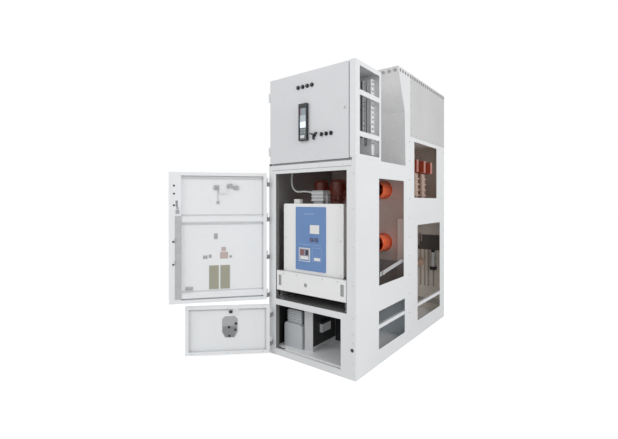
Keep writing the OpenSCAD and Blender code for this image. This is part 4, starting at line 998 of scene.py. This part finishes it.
# Layers and latch of the control plug, in mm
LAYER_Z = (1214, 1240, 1266)
LAYER_H = 11
LAYER_REACH = 3
PLUG_LATCH_T = 2
PLUG_LATCH_Y = (30, 60)
PLUG_LATCH_Z = (1192, 1262)


def make_plug_details():
    """Raised layers and the latch on the sides of the control plug."""
    low, high = mm_box("control_plug")
    reach = LAYER_REACH
    layers = Piece("plug_layers", "pale_resin", "truck")
    for z in LAYER_Z:
        layers.box((low.x - reach, high.x + reach), (low.y - reach, high.y + reach), (z, z + LAYER_H))
    layers.done(1.2)
    latch = Piece("plug_latch", "bright_steel", "truck")
    latch_y = (low.y + PLUG_LATCH_Y[0], low.y + PLUG_LATCH_Y[1])
    for x in (low.x - reach - PLUG_LATCH_T, high.x + reach):
        latch.box((x, x + PLUG_LATCH_T), latch_y, PLUG_LATCH_Z)
    latch.done(0.4)


# Plug, fold and screws of the cabinet's front, in mm
POST_PLUG_X = 372
POST_PLUG_Z = 203
POST_SCREW_X = 380
POST_SCREW_Z = (309, 252, 120, 420, 640, 900, 1160, 1400)
FOLD_X = (-366, 366)
FOLD_Z = (1449, 1453)
FOLD_T = 1.2
HEAD_SCREW_Z = 1466


def make_front_fittings():
    """Plug and screws of the right post, and fold and screws over the breaker opening."""
    face = mm_box("front_frame")[0].y
    flange = face - 2.5
    plug = Piece("post_plug", "black_plastic")
    plug.stub(POST_PLUG_X, POST_PLUG_Z, (face, flange), 13, 11)
    plug.stub(POST_PLUG_X, POST_PLUG_Z, (flange, face - 3.2), 8, 6)
    plug.done(0.4)
    fold = Piece("head_fold", "coated_steel", finish=GREY_PLATE)
    fold.box(FOLD_X, (face - FOLD_T, face), FOLD_Z)
    fold.done(0.3)
    screws = Piece("post_screws", "bright_steel")
    for z in POST_SCREW_Z:
        screws.screw((POST_SCREW_X, face, z), FORWARD, 4.5, 2)
    for x in spaced(-300, 300, 200):
        screws.screw((x, face, HEAD_SCREW_Z), FORWARD, 4, 1.8)
    screws.done(0.3)


# Rows of fasteners on the cabinet, in mm
REAR_ROW_Y = 884
ROOF_FRONT_Y = -214
DUCT_BOLT_Z = 2286
DUCT_SEAM_Z = 1786
DUCT_POST_Y = 30
WALL_SEAM_Y = -4
REAR_EDGE_X = 376
REAR_SEAM_Z = (72, 1092, 1120, 1756, 1782, 2290)
ROOF_EDGE_X = 386
ROW_X = (-370, 370)
CONTROL_ROOF_Y = (-866, -544)
# Height of the duct's slanted front, and the bolts' place from its top edge
SLANT_H = 453
SLANT_BOLT_IN = 8
SLANT_BOLT_DROP = 24
# Width and height of bolt heads, and radius and height of a screw's
LARGE_BOLT = (17, 4)
SMALL_BOLT = (10, 4)
SCREW = (5, 2.2)


def make_side_bolts():
    """Bolts and screws along both sides of the cabinet."""
    reach = mm_box("duct_top")[1].x
    bolts = Piece("side_bolts", "bright_steel", finish=DARK_BOLT)
    for side in (-1, 1):
        x = side * reach
        out = (side, 0, 0)
        for y in spaced(-190, 880, 53):
            bolts.bolt((x, y, DUCT_BOLT_Z), out, *LARGE_BOLT)
        for y in spaced(40, 880, 105):
            bolts.screw((x, y, DUCT_SEAM_Z), out, *SCREW)
        for row, front_y in (((1840, 2240, 100), DUCT_POST_Y), ((90, 1720, 163), WALL_SEAM_Y)):
            for z in spaced(*row):
                bolts.screw((x, REAR_ROW_Y, z), out, *SCREW)
                bolts.screw((x, front_y, z), out, *SCREW)
    bolts.done(0.3)


def make_rear_bolts():
    """Bolts round the rear covers."""
    face = mm_box("rear_covers")[1].y
    bolts = Piece("rear_bolts", "bright_steel")
    for side in (-1, 1):
        for z in spaced(80, 2280, 147):
            bolts.bolt((side * REAR_EDGE_X, face, z), BACKWARD, *SMALL_BOLT)
    for z in REAR_SEAM_Z:
        for x in spaced(-280, 280, 140):
            bolts.bolt((x, face, z), BACKWARD, *SMALL_BOLT)
    bolts.done(0.4)


def make_roof_bolts():
    """Screws round the duct's roof and along the control compartment's."""
    top = mm_box("duct_top")[1].z
    bolts = Piece("roof_bolts", "bright_steel")
    for x in spaced(*ROW_X, 92):
        for y in (ROOF_FRONT_Y, REAR_ROW_Y):
            bolts.screw((x, y, top), UPWARD, *SCREW)
    for side in (-1, 1):
        for y in spaced(-140, 880, 102):
            bolts.screw((side * ROOF_EDGE_X, y, top), UPWARD, *SCREW)
    control_top = mm_box("lv_top")[1].z
    for x in spaced(*ROW_X, 148):
        for y in CONTROL_ROOF_Y:
            bolts.screw((x, y, control_top), UPWARD, 4.5, 2)
    bolts.done(0.3)


def make_duct_bolts():
    """Row of bolts under the top edge of the slanted duct front."""
    low, high = mm_box("duct_front")
    slant = math.atan2(high.y - low.y, SLANT_H)
    out = (0, -math.cos(slant), -math.sin(slant))
    bolts = Piece("duct_bolts", "bright_steel", finish=DARK_BOLT)
    for x in spaced(*ROW_X, 53):
        bolts.bolt((x, low.y + SLANT_BOLT_IN, high.z - SLANT_BOLT_DROP), out, *LARGE_BOLT)
    bolts.done(0.4)


# Black sheets of painted shade in the lower compartment, in mm; those on the divider leave its box free
LEFT_SHADE_X = (-366, -363)
LEFT_SHADE_Y = (-856, -474)
BACK_SHADE_X = (-366, 300)
BACK_SHADE_Y = (-474, -470)
DIVIDER_SHADE_T = 2
DIVIDER_SHADE_Y = (-786, -484)
DIVIDER_SHADE_LOW = 92
BOX_GAP_Y = (-704, -585)
BOX_GAP_Z = (162, 268)


def make_lower_shade_sheets():
    """Black sheets of painted shade at the left, at the back and on the divider."""
    floor_top = mm_box("floor_plates")[1].z
    roof = mm_box("breaker_floor")[0].z
    wall = mm_box("divider_plate")[0].x + DIVIDER_FLANGE
    upright = (DIVIDER_SHADE_LOW, roof - 4)
    sheets = Piece("lower_shade_sheets", "black_plastic")
    for x, y in ((LEFT_SHADE_X, LEFT_SHADE_Y), (BACK_SHADE_X, BACK_SHADE_Y)):
        sheets.box(x, y, (floor_top, roof - 1))
    for y, z in (((DIVIDER_SHADE_Y[0], BOX_GAP_Y[0]), upright),
                 ((BOX_GAP_Y[1], DIVIDER_SHADE_Y[1]), upright),
                 (BOX_GAP_Y, (upright[0], BOX_GAP_Z[0])),
                 (BOX_GAP_Y, (BOX_GAP_Z[1], upright[1]))):
        sheets.box((wall, wall + DIVIDER_SHADE_T), y, z)
    sheets.done(0.3)


# Dark sheet of painted shade at the foot of the mid partition and the wiring trunk, in mm
FOOT_SHADE_LEFT = -360
FOOT_SHADE_Z = (446, 690)
FOOT_SHADE_T = 2
TRUNK_GAP = 3


def make_partition_foot_shade():
    """Dark sheet of painted shade, stepped forward at the trunk."""
    partition = mm_box("mid_partition")[0].y
    trunk_low, trunk_high = mm_box("wiring_trunk")
    seam = trunk_low.x - TRUNK_GAP
    shade_sheet = Piece("partition_foot_shade", "dark_resin", finish=FOOT_SHADE_GREY)
    shade_sheet.box((FOOT_SHADE_LEFT, seam), (partition - FOOT_SHADE_T, partition), FOOT_SHADE_Z)
    shade_sheet.box((seam, trunk_high.x), (trunk_low.y - FOOT_SHADE_T, trunk_low.y), FOOT_SHADE_Z)
    shade_sheet.done(0.3)


# Inside of the rear cover, in mm
PHASE_X = 242
PHASE_HALF = 122
PHASE_Z = (690, 850)
PHASE_T = 6
RIB_X = (-290, -235, -195, -150, 0, 150, 195, 235, 290)
RIB_HALF = 8
RIB_Z = (300, 688)
RIB_T = 3
POST_X = 298
POST_DEPTH = 36
POST_Z = (520, 670)
POST_R = 22
SKIRT_Z = (545, 580, 615, 650)
SKIRT_R = 30
SKIRT_HALF = 5
STRAP_T = 6
STRAP_XZ = (((126, 138), (735, 865)), ((138, 166), (850, 865)), ((154, 166), (775, 850)))


def make_rear_fittings():
    """Barriers, ribs, a small post with its bracket and an earth strap."""
    rear = mm_box("rear_covers")[0].y
    barrier = Piece("rear_barrier", "dark_resin", finish=BARRIER_GREY)
    for middle in (-PHASE_X, PHASE_X):
        barrier.box((middle - PHASE_HALF, middle + PHASE_HALF), (rear - PHASE_T, rear), PHASE_Z)
    barrier.done(0.4)
    ribs = Piece("rear_cover_ribs", "coated_steel", finish=RIB_STEEL)
    for x in RIB_X:
        ribs.box((x - RIB_HALF, x + RIB_HALF), (rear - RIB_T, rear), RIB_Z)
    ribs.done(0.6)
    post_y = rear - POST_DEPTH
    post = Piece("rear_insulator", "pale_resin")
    post.rod((POST_X, post_y, POST_Z[0]), (POST_X, post_y, POST_Z[1]), POST_R)
    for z in SKIRT_Z:
        post.rod((POST_X, post_y, z - SKIRT_HALF), (POST_X, post_y, z + SKIRT_HALF), SKIRT_R)
    post.done(1.0)
    bracket = Piece("insulator_bracket", "black_plastic")
    bracket.box((POST_X - 28, POST_X + 28), (post_y - 22, rear), (POST_Z[0] - 36, POST_Z[0]))
    bracket.box((POST_X - 14, POST_X + 14), (post_y - 14, post_y + 14), (POST_Z[1], POST_Z[1] + 20))
    bracket.done(0.8)
    strap = Piece("earth_strap", "beige_paint", finish=ROSE_PLATE)
    for x, z in STRAP_XZ:
        strap.box(x, (rear - PHASE_T - STRAP_T, rear - PHASE_T), z)
    strap.done(0.8)


# Wire bundles of the control compartment, in mm
LOOM_Z = (1690, 2118)
WIRE_R = 2.6
WIRE_PLACES = ((-3, 0), (0, -1.6), (3, 0))
TIE_R = 2.4 * WIRE_R
TIE_HALF = 2
TIE_STEP = 90
TIE_INSET = 40


def make_wire_looms():
    """Upright wire bundles, tied in and on the right duct of the control compartment."""
    face = mm_box("lv_wire_ducts")[0].y
    for name, finish, x, y, turn in (("gap_loom", LOOM_PALE, 288, face + 10, (-12, 0)),
                                     ("dark_loom", LOOM_DARK, 267, face - 4, (0, 12)),
                                     ("edge_loom", LOOM_PALE, 344, face - 4, (0, 12))):
        loom = Piece(name, "grey_plastic", finish=finish)
        for dx, dy in WIRE_PLACES:
            start, end = [(x + dx, y + dy, z) for z in LOOM_Z]
            loom.rod(start, end, WIRE_R)
            for corner in (start, end):
                loom.rod(corner, (corner[0] + turn[0], corner[1] + turn[1], corner[2]), WIRE_R)
        for z in spaced(LOOM_Z[0] + TIE_INSET, LOOM_Z[1] - TIE_INSET, TIE_STEP):
            loom.rod((x, y - 0.6, z - TIE_HALF), (x, y - 0.6, z + TIE_HALF), TIE_R)
        loom.done(0.2)


# Studio: lamps have a place, a target, a size and a power
AMBIENT = 0.55
FLOOR_REACH = 40.0
FLOOR_GLOW = 0.5
LAMPS = {
    "key": ((-1.6, -5.0, 3.4), (0, -0.6, 1.1), 3.0, 62),
    "side": ((4.9, -1.4, 2.6), (0, 0.1, 1.0), 3.0, 96),
}


def floor_finish():
    """Matt pale floor, brightened to the eye only."""
    f = Finish("floor")
    f.into(f.mix(f.noise(scale=0.4, detail=2), (0.90, 0.90, 0.90), (0.92, 0.92, 0.92)), "Base Color")
    f.set("Roughness", 0.9)
    f.set("Specular IOR Level", 0.1)
    seen = f.add("ShaderNodeLightPath").outputs["Is Camera Ray"]
    f.set("Emission Color", (1, 1, 1, 1))
    f.into(f.math("MULTIPLY", seen, FLOOR_GLOW), "Emission Strength")
    return f.material


def add_floor():
    """Wide plain floor."""
    reach = FLOOR_REACH
    corners = [(-reach, -reach, 0), (reach, -reach, 0), (reach, reach, 0), (-reach, reach, 0)]
    data = bpy.data.meshes.new("floor")
    data.from_pydata(corners, [], [(0, 1, 2, 3)])
    data.materials.append(floor_finish())
    add_object("floor", data)


def set_world(ambient):
    """White to the eye and in reflections, and a plain soft light everywhere else."""
    world = bpy.data.worlds.new("studio")
    bpy.context.scene.world = world
    world.use_nodes = True
    sky = Nodes(world.node_tree)
    background = sky.tree.nodes["Background"]
    background.inputs["Color"].default_value = (1, 1, 1, 1)
    rays = sky.add("ShaderNodeLightPath").outputs
    seen = sky.math("MAXIMUM", rays["Is Camera Ray"], rays["Is Glossy Ray"])
    seen = sky.math("MAXIMUM", seen, rays["Is Transmission Ray"])
    sky.link(sky.spread(seen, low=ambient, high=1.0, span=(0, 1)), background.inputs["Strength"])


def add_lamp(name, place, target, size, power):
    """Square area lamp that faces its target."""
    data = bpy.data.lights.new(name, "AREA")
    data.size = size
    data.energy = power
    lamp = add_object(name, data)
    lamp.location = place
    lamp.rotation_euler = (Vector(target) - Vector(place)).to_track_quat("-Z", "Y").to_euler()


def set_studio():
    """Plain floor, soft light from all sides and two lamps."""
    bpy.context.scene.view_settings.view_transform = "Standard"
    set_world(AMBIENT)
    add_floor()
    for name, values in LAMPS.items():
        add_lamp(name, *values)


set_camera()
make_conduit()
dress_nodes()
make_relay_face()
make_switch_marks()
make_door_lock()
make_breaker_door()
make_lower_door()
make_panel_details()
make_cover_fittings()
make_plug_details()
make_front_fittings()
make_side_bolts()
make_rear_bolts()
make_roof_bolts()
make_duct_bolts()
make_lower_shade_sheets()
make_partition_foot_shade()
make_rear_fittings()
make_wire_looms()
set_studio()
